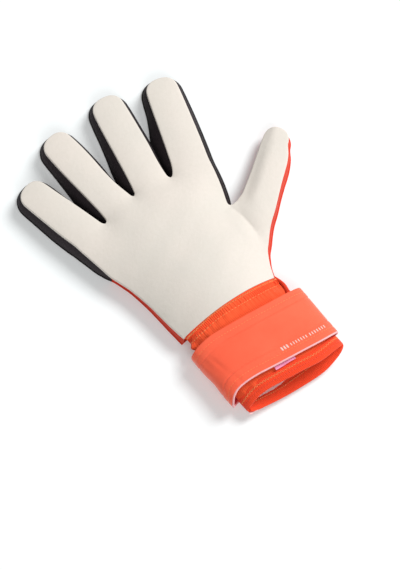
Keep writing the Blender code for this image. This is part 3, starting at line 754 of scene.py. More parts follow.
def flare_wanted(q, nrm):
    """How far the gusset's foot should stand out from the latex edge, and its share of a gap."""
    out = np.full(len(q), 1.4)
    share = np.full(len(q), 0.46)
    names = finger_of(q)
    for i in range(len(q)):
        nm = names[i]
        if nm == "thumb":
            f = FINGERS[nm]
            s = float((q[i] - f["K"]) @ f["d"])
            side_turn = float(nrm[i] @ f["p"])
            outer = float(np.interp(s, [0, 15, 35, 48, 60, 70], [1.7, 1.6, 2.3, 1.8, 1.5, 1.2]))
            out[i] = outer + (-0.9 - outer) * (1 - float(smooth(-0.6, 0.15, side_turn)))
        elif nm == "hand":
            x, y = q[i]
            if x < -40:
                out[i] = float(np.interp(y, [0, 8, 20, 45, 71, 74, 78, 86, 96, 106, 112], [1.6, 0.9, 0.4, -0.5, -1.7, -0.8, 0.6, 2.2, 2.6, 3.4, 3.8]))
            elif x > 40 and y > 74:
                out[i] = float(np.interp(y, [74, 80, 95], [3.2, 3.9, 4.4]))
            elif y > 105:
                out[i] = 5.0
            elif y > 68:
                out[i] = -0.6
            else:
                out[i] = float(np.interp(y, [5, 15, 35, 50], [1.7, 1.2, 2.2, 1.7]))
        else:
            f = FINGERS[nm]
            s = float((q[i] - f["K"]) @ f["d"])
            left = float(nrm[i] @ f["p"]) < 0
            if nm == "little" and left:
                out[i] = float(np.interp(s, [0, 20, 62], [3.9, 3.9, 3.2]))
            elif nm == "index" and not left:
                out[i] = float(np.interp(s, [0, 40, 75], [4.4, 4.2, 3.2]))
            elif nm == "index":
                out[i] = float(np.interp(s, [0, 15, 28, 40, 52, 75], [8.0, 9.5, 9.0, 6.0, 4.0, 3.2]))
                share[i] = float(np.interp(s, [0, 6], [0.5, 0.64]))
            elif left:
                out[i] = float(np.interp(s, [0, 15, 26, 36, 52, 75], [7.0, 7.4, 6.8, 5.4, 4.0, 3.2]))
                share[i] = float(np.interp(s, [0, 6], [0.5, 0.76]))
            else:
                out[i] = float(np.interp(s, [0, 20, 40, 75], [3.4, 3.6, 3.2, 3.0]))
                share[i] = float(np.interp(s, [0, 6], [0.44, 0.34 if nm == "middle" else 0.22]))
    return out, share


want, share = flare_wanted(ring, NRM)
foot = np.minimum(want, np.maximum(0.3, share * GAPS - 0.12))
for _ in range(4):
    foot[1:-1] = 0.25 * foot[:-2] + 0.5 * foot[1:-1] + 0.25 * foot[2:]
foot = np.minimum(foot, np.maximum(0.28, share * GAPS - 0.1))
for _ in range(60):
    off = ring + NRM * foot[:, None]
    seg, base_seg = np.diff(off, axis=0), np.diff(ring, axis=0)
    bad = (seg * base_seg).sum(1) < 0.2 * (base_seg ** 2).sum(1)
    bad &= (foot[:-1] > 0) | (foot[1:] > 0)
    if not bad.any():
        break
    hit = np.zeros(NR, bool)
    hit[:-1] |= bad
    hit[1:] |= bad
    foot[hit] *= 0.8


# ------------------------------------------------------------------ heights
SIDE_L = ([p[1] for p in side], [p[0] for p in side])


def edge_height(x, y):
    """Top of the latex along its cut edge."""
    x, y = np.asarray(x, float), np.asarray(y, float)
    up = 3.0 * np.maximum(smooth(55, 108, y), smooth(46, 66, x) * smooth(30, 52, y))
    base = 17.0 + up
    for nm, f in FINGERS.items():
        s = (x - f["K"][0]) * f["d"][0] + (y - f["K"][1]) * f["d"][1]
        lat = np.abs((x - f["K"][0]) * f["p"][0] + (y - f["K"][1]) * f["p"][1])
        lim = y > 100 if nm != "thumb" else (y < 115) & (x > 50)
        on = (s > 0) & (lat < 17) & lim
        base = np.where(on, np.minimum(base, 20.0) - 3.6 * np.clip(s / f["tip"], 0, 1.1) ** 1.6, base)
        if nm == "thumb":
            side_way = -((x - f["K"][0]) * f["p"][0] + (y - f["K"][1]) * f["p"][1])
            inner = smooth(1.0, 10.5, side_way)
            base = np.where((s > -4) & (s < 80) & (x > 50) & (side_way < 19), base - 3.6 * inner * smooth(-4, 16, s), base)
    return base


CREASE_ARC = catmull([np.array(p) for p in ((44.9, 71.0), (46.0, 66.5), (47.6, 61.0), (48.9, 55.0), (49.6, 49.0), (50.2, 43.0), (50.0, 36.0), (47.5, 28.0))], 1.0)
CREASE_SHORT = catmull([np.array(p) for p in ((44.0, 71.6), (41.2, 70.6), (38.0, 70.2))], 1.0)


def crease_valley(x, y):
    """The soft fold of the thumb's base, with a low ridge beside it, and the short crease next to the crotch."""
    arc = CREASE_ARC
    q = np.column_stack([np.ravel(x), np.ravel(y)])
    d = np.full(len(q), 99.0)
    k = np.zeros(len(q), int)
    for i in range(len(arc)):
        e = np.linalg.norm(q - arc[i], axis=1)
        m = e < d
        d[m], k[m] = e[m], i
    along = k / (len(arc) - 1)
    fade = np.sin(PI * np.clip(along * 0.86 + 0.12, 0, 1)) ** 0.7
    line = 1 - smooth(0.45, 0.85, along)
    valley = -0.75 * np.exp(-(d / 1.15) ** 2) * fade * line - 0.6 * np.exp(-(d / 4.5) ** 2) * fade
    valley += 0.35 * np.exp(-((d - 6.5) / 3.5) ** 2) * fade
    e = line_distance(CREASE_SHORT, q)
    valley -= 0.45 * np.exp(-(e / 1.1) ** 2)
    return valley.reshape(np.shape(x))


def slow_waves(x, y):
    return (0.30 * np.sin(x * 0.071 + y * 0.052 + 0.6) * np.sin(y * 0.083 - x * 0.031 + 1.1)
            + 0.16 * np.sin(x * 0.16 - y * 0.11 + 2.0) * np.cos(y * 0.14 + 0.5))


def inside_mask(poly, q):
    x, y = q[:, 0], q[:, 1]
    hit = np.zeros(len(q), bool)
    a, b = poly, np.roll(poly, -1, 0)
    for (x1, y1), (x2, y2) in zip(a, b):
        if y1 == y2:
            continue
        c = ((y1 > y) != (y2 > y)) & (x < (x2 - x1) * (y - y1) / (y2 - y1) + x1)
        hit ^= c
    return hit


def line_distance(poly, q):
    a, b = poly[:-1], poly[1:]
    out = np.full(len(q), 1e9)
    for p1, p2 in zip(a, b):
        d = p2 - p1
        t = np.clip(((q - p1) @ d) / (d @ d), 0, 1)
        e = np.linalg.norm(q - (p1 + t[:, None] * d), axis=1)
        np.minimum(out, e, out)
    return out


def triangulate(boundary, cut_pairs, spacing, rings_in=(2.0, 4.2), lines=()):
    """A triangulation inside boundary (closed), with straight cut lines kept as edges.
    Returns the points and the triangles; the first len(boundary) points are the boundary."""
    pts = [tuple(p) for p in boundary]
    nb = len(pts)
    edges = [(i, (i + 1) % nb) for i in range(nb)]
    cut_pts = []
    for ia, ib in cut_pairs:
        a, b = boundary[ia], boundary[ib]
        n = max(2, int(round(np.linalg.norm(b - a) / 2.4)))
        prev = ia
        for k in range(1, n):
            q = a + (b - a) * k / n
            pts.append(tuple(q))
            cut_pts.append(q)
            edges.append((prev, len(pts) - 1))
            prev = len(pts) - 1
        edges.append((prev, ib))
    closed = np.vstack([boundary, boundary[:1]])
    nrm = outward(boundary, True)
    keep = []
    taken = np.array(cut_pts) if cut_pts else np.zeros((0, 2))
    for depth, stride in zip(rings_in, (1, 2)):
        cand = boundary[::stride] - nrm[::stride] * depth
        keep.append((cand, depth))
    for line, offsets in lines:
        ln = resample(line, 1.4)
        ln_out = outward(ln)
        for o in offsets:
            keep.insert(0, (ln + ln_out * o, 1.3))
    lo, hi = boundary.min(0), boundary.max(0)
    gx, gy = np.meshgrid(np.arange(lo[0], hi[0], spacing), np.arange(lo[1], hi[1], spacing * 0.866))
    gx[1::2] += spacing / 2
    keep.append((np.column_stack([gx.ravel(), gy.ravel()]), rings_in[-1] + spacing * 0.6))
    accepted = np.zeros((0, 2))
    for cand, depth in keep:
        cand = cand[inside_mask(boundary, cand)]
        cand = cand[line_distance(closed, cand) > depth * 0.93]
        if len(taken):
            d = np.linalg.norm(cand[:, None] - taken[None], axis=2).min(1)
            cand = cand[d > 1.3]
        if len(accepted):
            d = np.linalg.norm(cand[:, None] - accepted[None], axis=2).min(1)
            cand = cand[d > (min(spacing * 0.55, 1.5) if depth != 1.3 else 0.9)]
        # thin out candidates that crowd each other
        grid, good = {}, []
        cell = 1.1
        for q in cand:
            key = (int(q[0] // cell), int(q[1] // cell))
            if key in grid:
                continue
            grid[key] = True
            good.append(q)
        if good:
            accepted = np.vstack([accepted, np.array(good)])
    pts += [tuple(q) for q in accepted]
    verts, _, faces, orig, *_ = delaunay_2d_cdt([Vector(p) for p in pts], edges, [list(range(nb))], 1, 1e-5)
    mapping = [o[0] if o else -1 for o in orig]
    plan = np.array([tuple(v) for v in verts])
    order = np.argsort([m if m >= 0 else 10 ** 9 for m in mapping], kind="stable")
    inverse = np.empty(len(order), int)
    inverse[order] = np.arange(len(order))
    assert [mapping[i] for i in order[:nb]] == list(range(nb)), "the outline crosses itself"
    plan = plan[order]
    tris = []
    for f in faces:
        a, b, c = (int(inverse[i]) for i in f)
        turn = (plan[b][0] - plan[a][0]) * (plan[c][1] - plan[a][1]) - (plan[b][1] - plan[a][1]) * (plan[c][0] - plan[a][0])
        tris.append((a, b, c) if turn > 0 else (a, c, b))
    return plan, np.array(tris)


def inflate(plan, tris, fixed, push):
    """Heights of a membrane over the plan that is held at `fixed` and pushed up everywhere else."""
    n = len(plan)
    i, j, k = tris[:, 0], tris[:, 1], tris[:, 2]

    def cot(a, b, c):
        u, v = plan[b] - plan[a], plan[c] - plan[a]
        cr = np.abs(u[:, 0] * v[:, 1] - u[:, 1] * v[:, 0])
        return (u * v).sum(1) / np.maximum(cr, 1e-9)

    w = np.concatenate([cot(i, j, k), cot(j, k, i), cot(k, i, j)]) / 2
    a = np.concatenate([j, k, i])
    b = np.concatenate([k, i, j])
    w = np.maximum(w, 0.01)
    area = np.zeros(n)
    u, v = plan[j] - plan[i], plan[k] - plan[i]
    ta = np.abs(u[:, 0] * v[:, 1] - u[:, 1] * v[:, 0]) / 6
    for c in (i, j, k):
        np.add.at(area, c, ta)
    free = ~fixed
    rhs = push * area * free

    def apply(x):
        out = np.zeros(n)
        diff = w * (x[a] - x[b])
        np.add.at(out, a, diff)
        np.add.at(out, b, -diff)
        return out * free

    diag = np.zeros(n)
    np.add.at(diag, a, w)
    np.add.at(diag, b, w)
    x = np.zeros(n)
    r = rhs - apply(x)
    z = r / np.maximum(diag, 1e-9)
    p = z.copy()
    rz = r @ z
    for _ in range(900):
        ap = apply(p)
        alpha = rz / max(p @ ap, 1e-30)
        x += alpha * p
        r -= alpha * ap
        if np.abs(r).max() < 1e-7:
            break
        z = r / np.maximum(diag, 1e-9)
        new = r @ z
        p = z + (new / rz) * p
        rz = new
    return x


def side_blend(ob, region):
    """Puts a piece on its body: the hand's pieces ride the hand; a finger's pieces only have their transform baked into
    the mesh.
    """
    if region == "hand":
        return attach(ob, "hand")
    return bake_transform(ob)


CUTS = [tuple(marks[key]) for key in marks]


def panel(prefix, inset, profile, heights, thick, mat, bottom=None, spacing=3.0, offset=None, lines=()):
    """A padded panel with the glove's outline.  profile: rows (distance out from the outline,
    drop below the edge) from the top face round the cut edge to the underside."""
    line = ring if offset is None else ring + NRM * offset[:, None]
    n_out = outward(line)
    inner_ring = line - n_out * inset
    boundary = np.vstack([inner_ring, heel])
    plan, tris = triangulate(boundary, CUTS, spacing, lines=lines)
    nb, n = len(boundary), len(plan)
    top_z = heights(plan, tris, nb)
    verts = [np.column_stack([plan, top_z])]
    # the cut edge: rows of points round the outline, heel included
    full = np.vstack([line, heel])
    b_out = outward(full, True)
    b_out[:len(line)] = n_out
    edge_z = top_z[:nb]
    rows = []
    for out_by, drop in profile:
        base = boundary + b_out * (out_by + inset)
        base[NR:] = heel + b_out[NR:] * out_by
        rows.append(np.column_stack([base, edge_z - drop]))
    verts += rows
    under_z = (top_z - thick) if bottom is None else bottom(plan, top_z)
    verts.append(np.column_stack([plan, under_z]))
    start = [0] + [n + nb * k for k in range(len(rows))] + [n + nb * len(rows)]
    faces = [tuple(t) for t in tris]
    mids = [plan[t].mean(0) for t in tris]
    for k in range(len(rows) + 1):
        a0 = start[k]
        b0 = start[k + 1]
        for i in range(nb):
            j = (i + 1) % nb
            faces.append((a0 + i, b0 + i, b0 + j, a0 + j))
            mids.append((boundary[i] + boundary[j]) / 2)
    u0 = start[-1]
    for t in tris:
        faces.append((u0 + t[0], u0 + t[2], u0 + t[1]))
        mids.append(plan[t].mean(0))
    V = np.concatenate(verts)
    # outward turning: check one side quad
    q = faces[len(tris)]
    nq = np.cross(V[q[1]] - V[q[0]], V[q[2]] - V[q[0]])
    if nq[:2] @ b_out[0] < 0:
        for k in range(len(tris), len(tris) + nb * (len(rows) + 1)):
            faces[k] = tuple(reversed(faces[k]))
    N = vertex_normals(V, faces)
    regions = region_of(np.array(mids), boundary)
    made = {}
    for reg in sorted(set(regions)):
        sel = [faces[i] for i in np.nonzero(regions == reg)[0]]
        ob = piece(f"{reg}_{prefix}", V, sel, mat, normals=N, cap=True)
        side_blend(ob, reg)
        made[reg] = ob
    return made


# ------------------------------------------------------------------ latex front
HEEL_TOP = []                        # (x, height) of the latex along the heel, filled in below


def latex_heights(plan, tris, nb):
    fixed = np.zeros(len(plan), bool)
    fixed[:NR] = True
    x, y = plan[:, 0], plan[:, 1]
    names = finger_of(plan)
    on_finger = np.array([nm != "hand" for nm in names])
    push = np.where(on_finger, 0.0135, 0.0135 + 0.0 * x)
    push = 0.0125 - 0.0030 * smooth(20, 80, y) * ~on_finger
    h = inflate(plan, tris, fixed, push)
    z = edge_height(x, y) + h + crease_valley(x, y) * np.clip(h / 0.8, 0, 1) + slow_waves(x, y) * np.clip(h / 2.5, 0, 1)
    HEEL_TOP.extend(sorted((float(plan[i][0]), float(z[i])) for i in range(NR, nb)))
    return z


LATEX_PROFILE = [(-0.22, 0.30), (-0.02, 0.95), (0.0, 2.2), (0.0, 3.3), (-0.25, 4.2), (-1.1, 4.9)]
latex = panel("latex", 0.9, LATEX_PROFILE, latex_heights, 5.2, LATEX,
              lines=[(CREASE_ARC, (-2.2, -1.1, 0.0, 1.1, 2.2)), (CREASE_SHORT, (-1.1, 0.0, 1.1))])
for reg, ob in latex.items():
    if reg == "hand":
        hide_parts("palm_latex")
    else:
        nm, part = reg.rsplit("_", 1)
        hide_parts(f"{nm}_palm_{part}")


# ------------------------------------------------------------------ backhand
def cross_line(f, s, a=0.86):
    return np.array([fpoint(f, s, -width(f, s, 1) * a), fpoint(f, s + 0.6, 0.0), fpoint(f, s, width(f, s, 2) * a)])


CHANNELS = {}
for nm, f in FINGERS.items():
    CHANNELS[nm + "_knuckle"] = (cross_line(f, 1.0), nm + "_base")
    CHANNELS[nm + "_middle"] = (cross_line(f, f["mid"] + 1.0), nm + "_tip")
    CHANNELS[nm + "_end"] = (cross_line(f, f["mid"] + (f["tip"] - f["mid"]) * 0.52), nm + "_tip")
    CHANNELS[nm + "_first"] = (cross_line(f, f["mid"] * 0.52), nm + "_base")
CHANNELS["back_upper"] = (catmull([np.array(p) for p in ((-66, 98), (-45, 104), (-15, 109), (17, 107), (42, 98))], 2.0), "hand")
CHANNELS["back_middle"] = (catmull([np.array(p) for p in ((-60, 78), (-40, 86), (-10, 90), (18, 88), (39, 78))], 2.0), "hand")
CHANNELS["back_lower"] = (catmull([np.array(p) for p in ((-50, 52), (-30, 63), (-4, 68), (20, 66), (36, 56), (46, 40))], 2.0), "hand")
CHANNELS["back_thumb_side"] = (catmull([np.array(p) for p in ((39, 78), (36, 56), (28, 34), (22, 8))], 2.0), "hand")
CHANNELS["back_little_side"] = (catmull([np.array(p) for p in ((-50, 52), (-38, 34), (-28, 8))], 2.0), "hand")


def channel_distance(plan):
    d = np.full(len(plan), 99.0)
    for line, _ in CHANNELS.values():
        np.minimum(d, line_distance(line, plan), out=d)
    return d


def back_low(plan, top):
    """The backhand's outer face: padded between sewn channels and drawn in at its edge."""
    closed = np.vstack([ring + NRM * (foot - 0.5)[:, None], heel])
    edge = line_distance(np.vstack([closed, closed[:1]]), plan)
    d = channel_distance(plan)
    z = 0.12 + 1.55 * np.exp(-(d / 1.25) ** 2) + 0.35 * np.exp(-d / 4.0) + 1.2 * np.exp(-(edge / 2.2) ** 2)
    return np.minimum(z, 2.2)


def back_heights(plan, tris, nb):
    return np.full(len(plan), 3.6)


BACK_PROFILE = [(-0.15, 0.35), (0.0, 0.9), (0.0, 2.2), (-0.35, 3.0)]
backs = panel("backhand", 0.7, BACK_PROFILE, back_heights, 3.2, BACK, bottom=back_low, spacing=3.6, offset=foot - 0.5,
              lines=[(line, (-1.3, 0.0, 1.3)) for line, _ in CHANNELS.values()])
for reg, ob in backs.items():
    if reg == "hand":
        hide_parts("backhand_panel")
    else:
        nm, part = reg.rsplit("_", 1)
        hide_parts(f"{nm}_back_{part}")


for nm, (line, reg) in CHANNELS.items():
    path = resample(line, 1.0)
    path = path[1:-1]
    low = back_low(path, None)
    ob = stitch_row(f"{nm}_channel_stitch", np.column_stack([path, low]), np.tile([0.0, 0.0, -1.0], (len(path), 1)), THREAD_DEEP,
                    length=2.0, gap=0.9, radius=0.28)
    side_blend(ob, reg)


# ------------------------------------------------------------------ side walls: mesh gussets and backhand wraps
EZ = edge_height(ring[:, 0], ring[:, 1])
LEN = np.concatenate([[0], np.cumsum(np.linalg.norm(np.diff(ring, axis=0), axis=1))])


def wall_profile(i, fabric):
    """Points (out, height) of a side wall at outline point i, from the latex seam to its foot."""
    z1, z0, ft = EZ[i] - 4.3, 2.6, foot[i]
    pts = []
    for t in np.linspace(0, 1, 9):
        z = z1 + (z0 - z1) * t
        bulge = (0.9 if fabric == "mesh" else 0.5) * math.sin(PI * t) * min(1.0, ft / 2.5)
        pts.append((-1.0 + (ft + 1.0) * t ** 0.8 + bulge, z))
    pts += [(ft + 0.15, 1.9), (ft - 0.1, 1.2), (ft - 0.9, 0.75)]
    return pts


def strip(name, i0, i1, fabric, mat, thick=1.1):
    """A wall along outline points i0..i1, with thickness and closed ends."""
    verts, uvs = [], []
    idx = list(range(i0, i1 + 1))
    prof = [wall_profile(i, fabric) for i in idx]
    k = len(prof[0])
    for a, i in enumerate(idx):
        drop = np.concatenate([[0], np.cumsum([math.hypot(prof[a][m + 1][0] - prof[a][m][0], prof[a][m + 1][1] - prof[a][m][1]) for m in range(k - 1)])])
        for m, (o, z) in enumerate(prof[a]):
            verts.append((*(ring[i] + NRM[i] * o), z))
            uvs.append((LEN[i], drop[m]))
        for m, (o, z) in reversed(list(enumerate(prof[a]))):
            verts.append((*(ring[i] + NRM[i] * (o - thick)), z + (0.25 if m == k - 1 else 0.0)))
            uvs.append((LEN[i], drop[m]))
    w = 2 * k
    faces = []
    for a in range(len(idx) - 1):
        for m in range(w):
            l = (m + 1) % w
            faces.append((a * w + m, (a + 1) * w + m, (a + 1) * w + l, a * w + l))
    ob = piece(name, verts, faces, mat, uv=np.array(uvs), cap=True)
    orient_out(ob)
    ob.data.set_sharp_from_angle(angle=math.radians(50))
    return ob


def nearest(x, y):
    return int(np.argmin(np.linalg.norm(ring - np.array([x, y]), axis=1)))


I_ORANGE_L = nearest(-64.3, 72.8)        # backhand wrap below, mesh above
I_CROTCH = nearest(44.5, 74.6)
order = ["little", "ring", "middle", "index", "thumb"]
A = {nm: sorted(marks[(nm, "A")]) for nm in order}
B = {nm: sorted(marks[(nm, "B")]) for nm in order}

walls = []


def add_wall(name, i0, i1, fabric, mat, region, replaces):
    ob = strip(name, i0, i1, fabric, mat)
    side_blend(ob, region)
    if replaces:
        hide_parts(*replaces)
    walls.append((name, i0, i1, fabric, region))
    return ob


add_wall("little_side_wrap_fabric", 0, I_ORANGE_L, "fabric", BACK, "hand", ["little_side_wrap"])
add_wall("little_side_gusset_mesh", I_ORANGE_L, A["little"][0], "mesh", MESH, "hand", ["little_side_gusset"])
for k, nm in enumerate(order):
    fab, mat, slot = ("fabric", BACK, "backhand_fabric") if nm == "thumb" else ("mesh", MESH, "gusset_mesh")
    diag = MESH_DIAG if nm == "index" else mat
    add_wall(f"{nm}_gusset_base_little_wall", A[nm][0], B[nm][0], fab, mat, f"{nm}_base", [f"{nm}_gusset_base_littleside"])
    add_wall(f"{nm}_gusset_tip_wall", B[nm][0], B[nm][1], fab, mat, f"{nm}_tip", [f"{nm}_gusset_tip"])
    add_wall(f"{nm}_gusset_base_thumb_wall", B[nm][1], A[nm][1], fab, diag, f"{nm}_base", [f"{nm}_gusset_base_thumbside"])
webs = {"little": "web_ring_little", "ring": "web_middle_ring", "middle": "web_index_middle"}
for a, b in (("little", "ring"), ("ring", "middle"), ("middle", "index")):
    add_wall(f"{webs[a]}_mesh", A[a][1], A[b][0], "mesh", MESH, "hand", [webs[a]])
add_wall("index_side_gusset_mesh", A["index"][1], I_CROTCH, "mesh", MESH_DIAG, "hand", ["index_side_gusset"])
add_wall("thumb_crotch_wrap", I_CROTCH, A["thumb"][0], "fabric", BACK, "hand", ["web_thumb_index"])
add_wall("thumb_side_wrap_fabric", A["thumb"][1], NR - 1, "fabric", BACK, "hand", ["thumb_side_wrap"])

# bound edges: a rolled tape where wall and backhand meet
for name, i0, i1, fabric, region in walls:
    path = np.array([(*(ring[i] + NRM[i] * (foot[i] + 0.25)), 2.3) for i in range(i0, i1 + 1)])
    nn = np.array([(*NRM[i], 0.0) for i in range(i0, i1 + 1)])
    mat = BINDING if fabric == "mesh" else BACK
    ob = tube(name.replace("_wall", "").replace("_mesh", "").replace("_fabric", "") + "_edge", path, 0.75, mat, sides=8, normals=nn, flat=(0.6, 0.95))
    side_blend(ob, region)
    top = np.array([(*(ring[i] + NRM[i] * -0.62), EZ[i] - 4.75) for i in range(i0, i1 + 1)])
    ob = tube(name.replace("_wall", "").replace("_mesh", "").replace("_fabric", "") + "_seam", top, 0.55, mat, sides=6, normals=nn)
    side_blend(ob, region)


# ------------------------------------------------------------------ cuff
def cuff_mid(y):
    return 1.0 + 0.19 * (5.0 - y)


def cuff_half(y):
    return 42.0 + 3.6 * float(smooth(5, -70, y))


def cuff_top(y):
    return 27.0 - 1.6 * float(smooth(-30, -66, y))


def cuff_low(y):
    return 5.0 - 1.8 * float(smooth(-58, -76, y))


_heel = np.array(sorted(HEEL_TOP))


def wrist(y, a, off=0.0):
    """A point of the cuff's outer face at angle a (0 thumb side, pi/2 palm side).  Near the heel it
    keeps under the latex."""
    e = 0.86 + 0.42 * float(smooth(-40, -72, y))
    mid, half, top, low = cuff_mid(y), cuff_half(y), cuff_top(y), cuff_low(y)
    waist = 13.0 - 1.5 * float(smooth(-50, -75, y))

    def at(b):
        c, s = math.cos(b), math.sin(b)
        rise = (top - waist) if s >= 0 else (waist - low)
        return np.array([mid + half * math.copysign(abs(c) ** 0.84, c), waist + rise * math.copysign(abs(s) ** e, s)])

    p = at(a)
    if off:
        q0, q1 = at(a - 0.03), at(a + 0.03)
        t = (q1 - q0) / max(1e-6, np.linalg.norm(q1 - q0))
        p = p + np.array([t[1], -t[0]]) * off
    if math.sin(a) > 0 and y > -9:
        under = float(np.interp(p[0], _heel[:, 0], _heel[:, 1])) - 1.15 + off
        near = float(smooth(-9, 3, y)) * float(smooth(0.0, 0.35, math.sin(a)))
        p = np.array([p[0], p[1] + (min(under, p[1] + 2.0) - p[1]) * near])
    return np.array([p[0], y, p[1]])


def table(points):
    pts = catmull([np.array(p, float) for p in points], 0.5) if len(points) > 2 else np.array(points, float)
    return lambda a: float(np.interp(a, pts[:, 0] / 10.0, pts[:, 1]))


hem_palm = table([(-3, -65), (0.8, -65.2), (6.3, -66.6), (11.7, -68.9), (16.0, -67.6), (20.5, -66.2), (23.3, -66.9), (25.5, -68.4), (28.5, -69.8), (31.4, -70.2), (34, -70.6)])
hem_back = table([(30, -70.0), (31.4, -70.8), (35.9, -72.8), (40.9, -73.9), (46.0, -75.0), (50.7, -74.6), (54.9, -71.4), (61.6, -65.8), (62.9, -65.2), (65, -65)])


def heel_line(a):
    return 5.2 - 3.6 * float(smooth(0.2, 1.0, -math.cos(a)))


rng = np.random.default_rng(7)
FOLDS = [(rng.uniform(0.2, 2.9), rng.uniform(-60, -2), rng.uniform(0.05, 0.12), rng.uniform(5, 11), rng.uniform(0.25, 0.6)) for _ in range(26)]


def cuff_folds(a, y):
    """Small gathers in the elastic: more where it is pulled in by the strap and by its corners."""
    z = 0.0
    for fa, fy, wa, wy, amp in FOLDS:
        z += amp * math.exp(-((a - fa) / wa) ** 2 - ((y - fy) / wy) ** 2)
    z -= 0.7 * math.exp(-((y + 1.4) / 1.0) ** 2)                # drawn in along the second stitch row
    z += 0.45 * math.exp(-((y - 1.8) / 2.0) ** 2)
    z += 0.30 * math.sin(a * 150 + 3 * math.sin(a * 7)) * float(smooth(-3.2, -1.8, y)) * (1 - float(smooth(3, 5, y)))
    z += 0.22 * math.sin(a * 58 + 4 * math.sin(a * 5) + 0.25 * y) * float(smooth(-9, -2.5, y)) * (1 - float(smooth(-2.5, -1.2, y)))
    left = math.exp(-((a - 2.98) / 0.16) ** 2)
    z += 3.4 * left * math.exp(-((y + 8.8) / 2.8) ** 2) - 1.6 * left * math.exp(-((y + 2.0) / 2.0) ** 2) - 0.8 * left * math.exp(-((y + 13.0) / 1.4) ** 2)
    return z


def cuff_grid(a0, a1, y0, y1, nu, nv, off=0.0, folds=True):
    """y0, y1: functions of the angle."""
    g = np.zeros((nv, nu, 3))
    for i, v in enumerate(np.linspace(0, 1, nv)):
        for j, a in enumerate(np.linspace(a0, a1, nu)):
            y = y0(a) + (y1(a) - y0(a)) * v
            g[i, j] = wrist(y, a, off + (cuff_folds(a, y) if folds else 0.0))
    return g


palm_half = cuff_grid(-0.02, PI + 0.02, lambda a: heel_line(a) + 4.0 - 4.6 * float(smooth(0.62, 0.93, abs(math.cos(a)))), lambda a: hem_palm(a), 300, 76, -0.2)
ob = thick_grid("cuff_palm_elastic_cloth", palm_half, 1.8, ELASTIC)
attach(ob, "hand"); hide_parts("cuff_palm_elastic")
back_half = cuff_grid(PI - 0.02, 2 * PI + 0.02, lambda a: heel_line(a) - 1.0, lambda a: hem_back(a), 110, 60, -0.2, folds=False)
ob = thick_grid("cuff_back_elastic_cloth", back_half, 1.8, ELASTIC)
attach(ob, "hand"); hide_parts("cuff_back_elastic")

# turned hems
def hem_band(name, a0, a1, edge, width_mm, off_out, thick, mat):
    g = cuff_grid(a0, a1, lambda a: edge(a) + width_mm, lambda a: edge(a) - 0.5, 120, 8, off_out, folds=False)
    return thick_grid(name, g, thick, mat)


ob = hem_band("cuff_palm_hem_band", 0.0, PI, hem_palm, 7.6, 0.25, 2.6, HEM)
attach(ob, "hand"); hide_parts("cuff_palm_hem")
ob = hem_band("cuff_back_hem_band", PI, 2 * PI, hem_back, 10.0, 0.25, 2.9, HEM)
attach(ob, "hand"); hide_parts("cuff_back_hem")

lin = cuff_grid(0.0, 2 * PI * 119 / 120, lambda a: -2.0, lambda a: (hem_palm(a) + 6.0) if math.sin(a) >= 0 else (hem_back(a) + 6.0), 120, 24, -2.3, folds=False)
ob = thick_grid("cuff_lining_cloth", lin, 0.8, LINING, wrap_u=True)
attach(ob, "hand"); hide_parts("cuff_lining")


facing = np.zeros((14, 120, 3))
for i, v in enumerate(np.linspace(0, 1, 14)):
    for j, a in enumerate(np.linspace(PI + 0.06, 2 * PI - 0.06, 120)):
        y = hem_back(a) + 2.0 + (5.0 + 5.8 * float(smooth(4.3, 5.2, a))) * v * (0.35 + 0.65 * math.sin(a - PI) ** 0.5)
        facing[i, j] = wrist(y, a, -3.35 - 0.15 * math.sin(a * 40) * v)
ob = thick_grid("cuff_back_hem_facing", facing, 0.9, HEM)
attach(ob, "hand")


def cuff_row(name, a0, a1, yf, mat, off=0.15, inner=False, **kw):
    ang = np.linspace(a0, a1, 220)
    path, nn = [], []
    for a in ang:
        y = yf(a)
        z = cuff_folds(a, y) if (math.sin(a) > 0 and not inner) else 0.0
        o = (off + z - 0.2) if not inner else off
        p = wrist(y, a, o)
        q = wrist(y, a, o + 1.0)
        path.append(p)
        n = (q - p) / np.linalg.norm(q - p)
        nn.append(-n if inner else n)
    ob = stitch_row(name, path, nn, mat, **kw)
    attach(ob, "hand")
    return ob


cuff_row("heel_zigzag_stitch", 0.08, PI - 0.06, lambda a: heel_line(a) - 1.6, THREAD, length=1.0, gap=0.15, radius=0.26, zigzag=0.75)
cuff_row("cuff_second_stitch", 0.10, PI - 0.10, lambda a: heel_line(a) - 6.8, THREAD, length=2.1, gap=0.9, radius=0.31)
cuff_row("palm_hem_zigzag", 0.12, PI - 0.12, lambda a: hem_palm(a) + 5.4, THREAD, off=0.5, length=1.1, gap=0.2, radius=0.26, zigzag=0.8)
cuff_row("palm_hem_stitch", 0.12, PI - 0.12, lambda a: hem_palm(a) + 2.2, THREAD_DEEP, off=0.5, length=1.6, gap=0.8, radius=0.26)
cuff_row("back_hem_stitch", PI + 0.15, 2 * PI - 0.15, lambda a: hem_back(a) + 5.2 + 2.6 * float(smooth(4.3, 5.2, a)), THREAD, off=-4.3, inner=True, length=1.2, gap=0.7, radius=0.31)
cuff_row("back_hem_outer_stitch", PI + 0.15, 2 * PI - 0.15, lambda a: hem_back(a) + 5.6, THREAD, off=0.35, length=1.2, gap=0.7, radius=0.26)


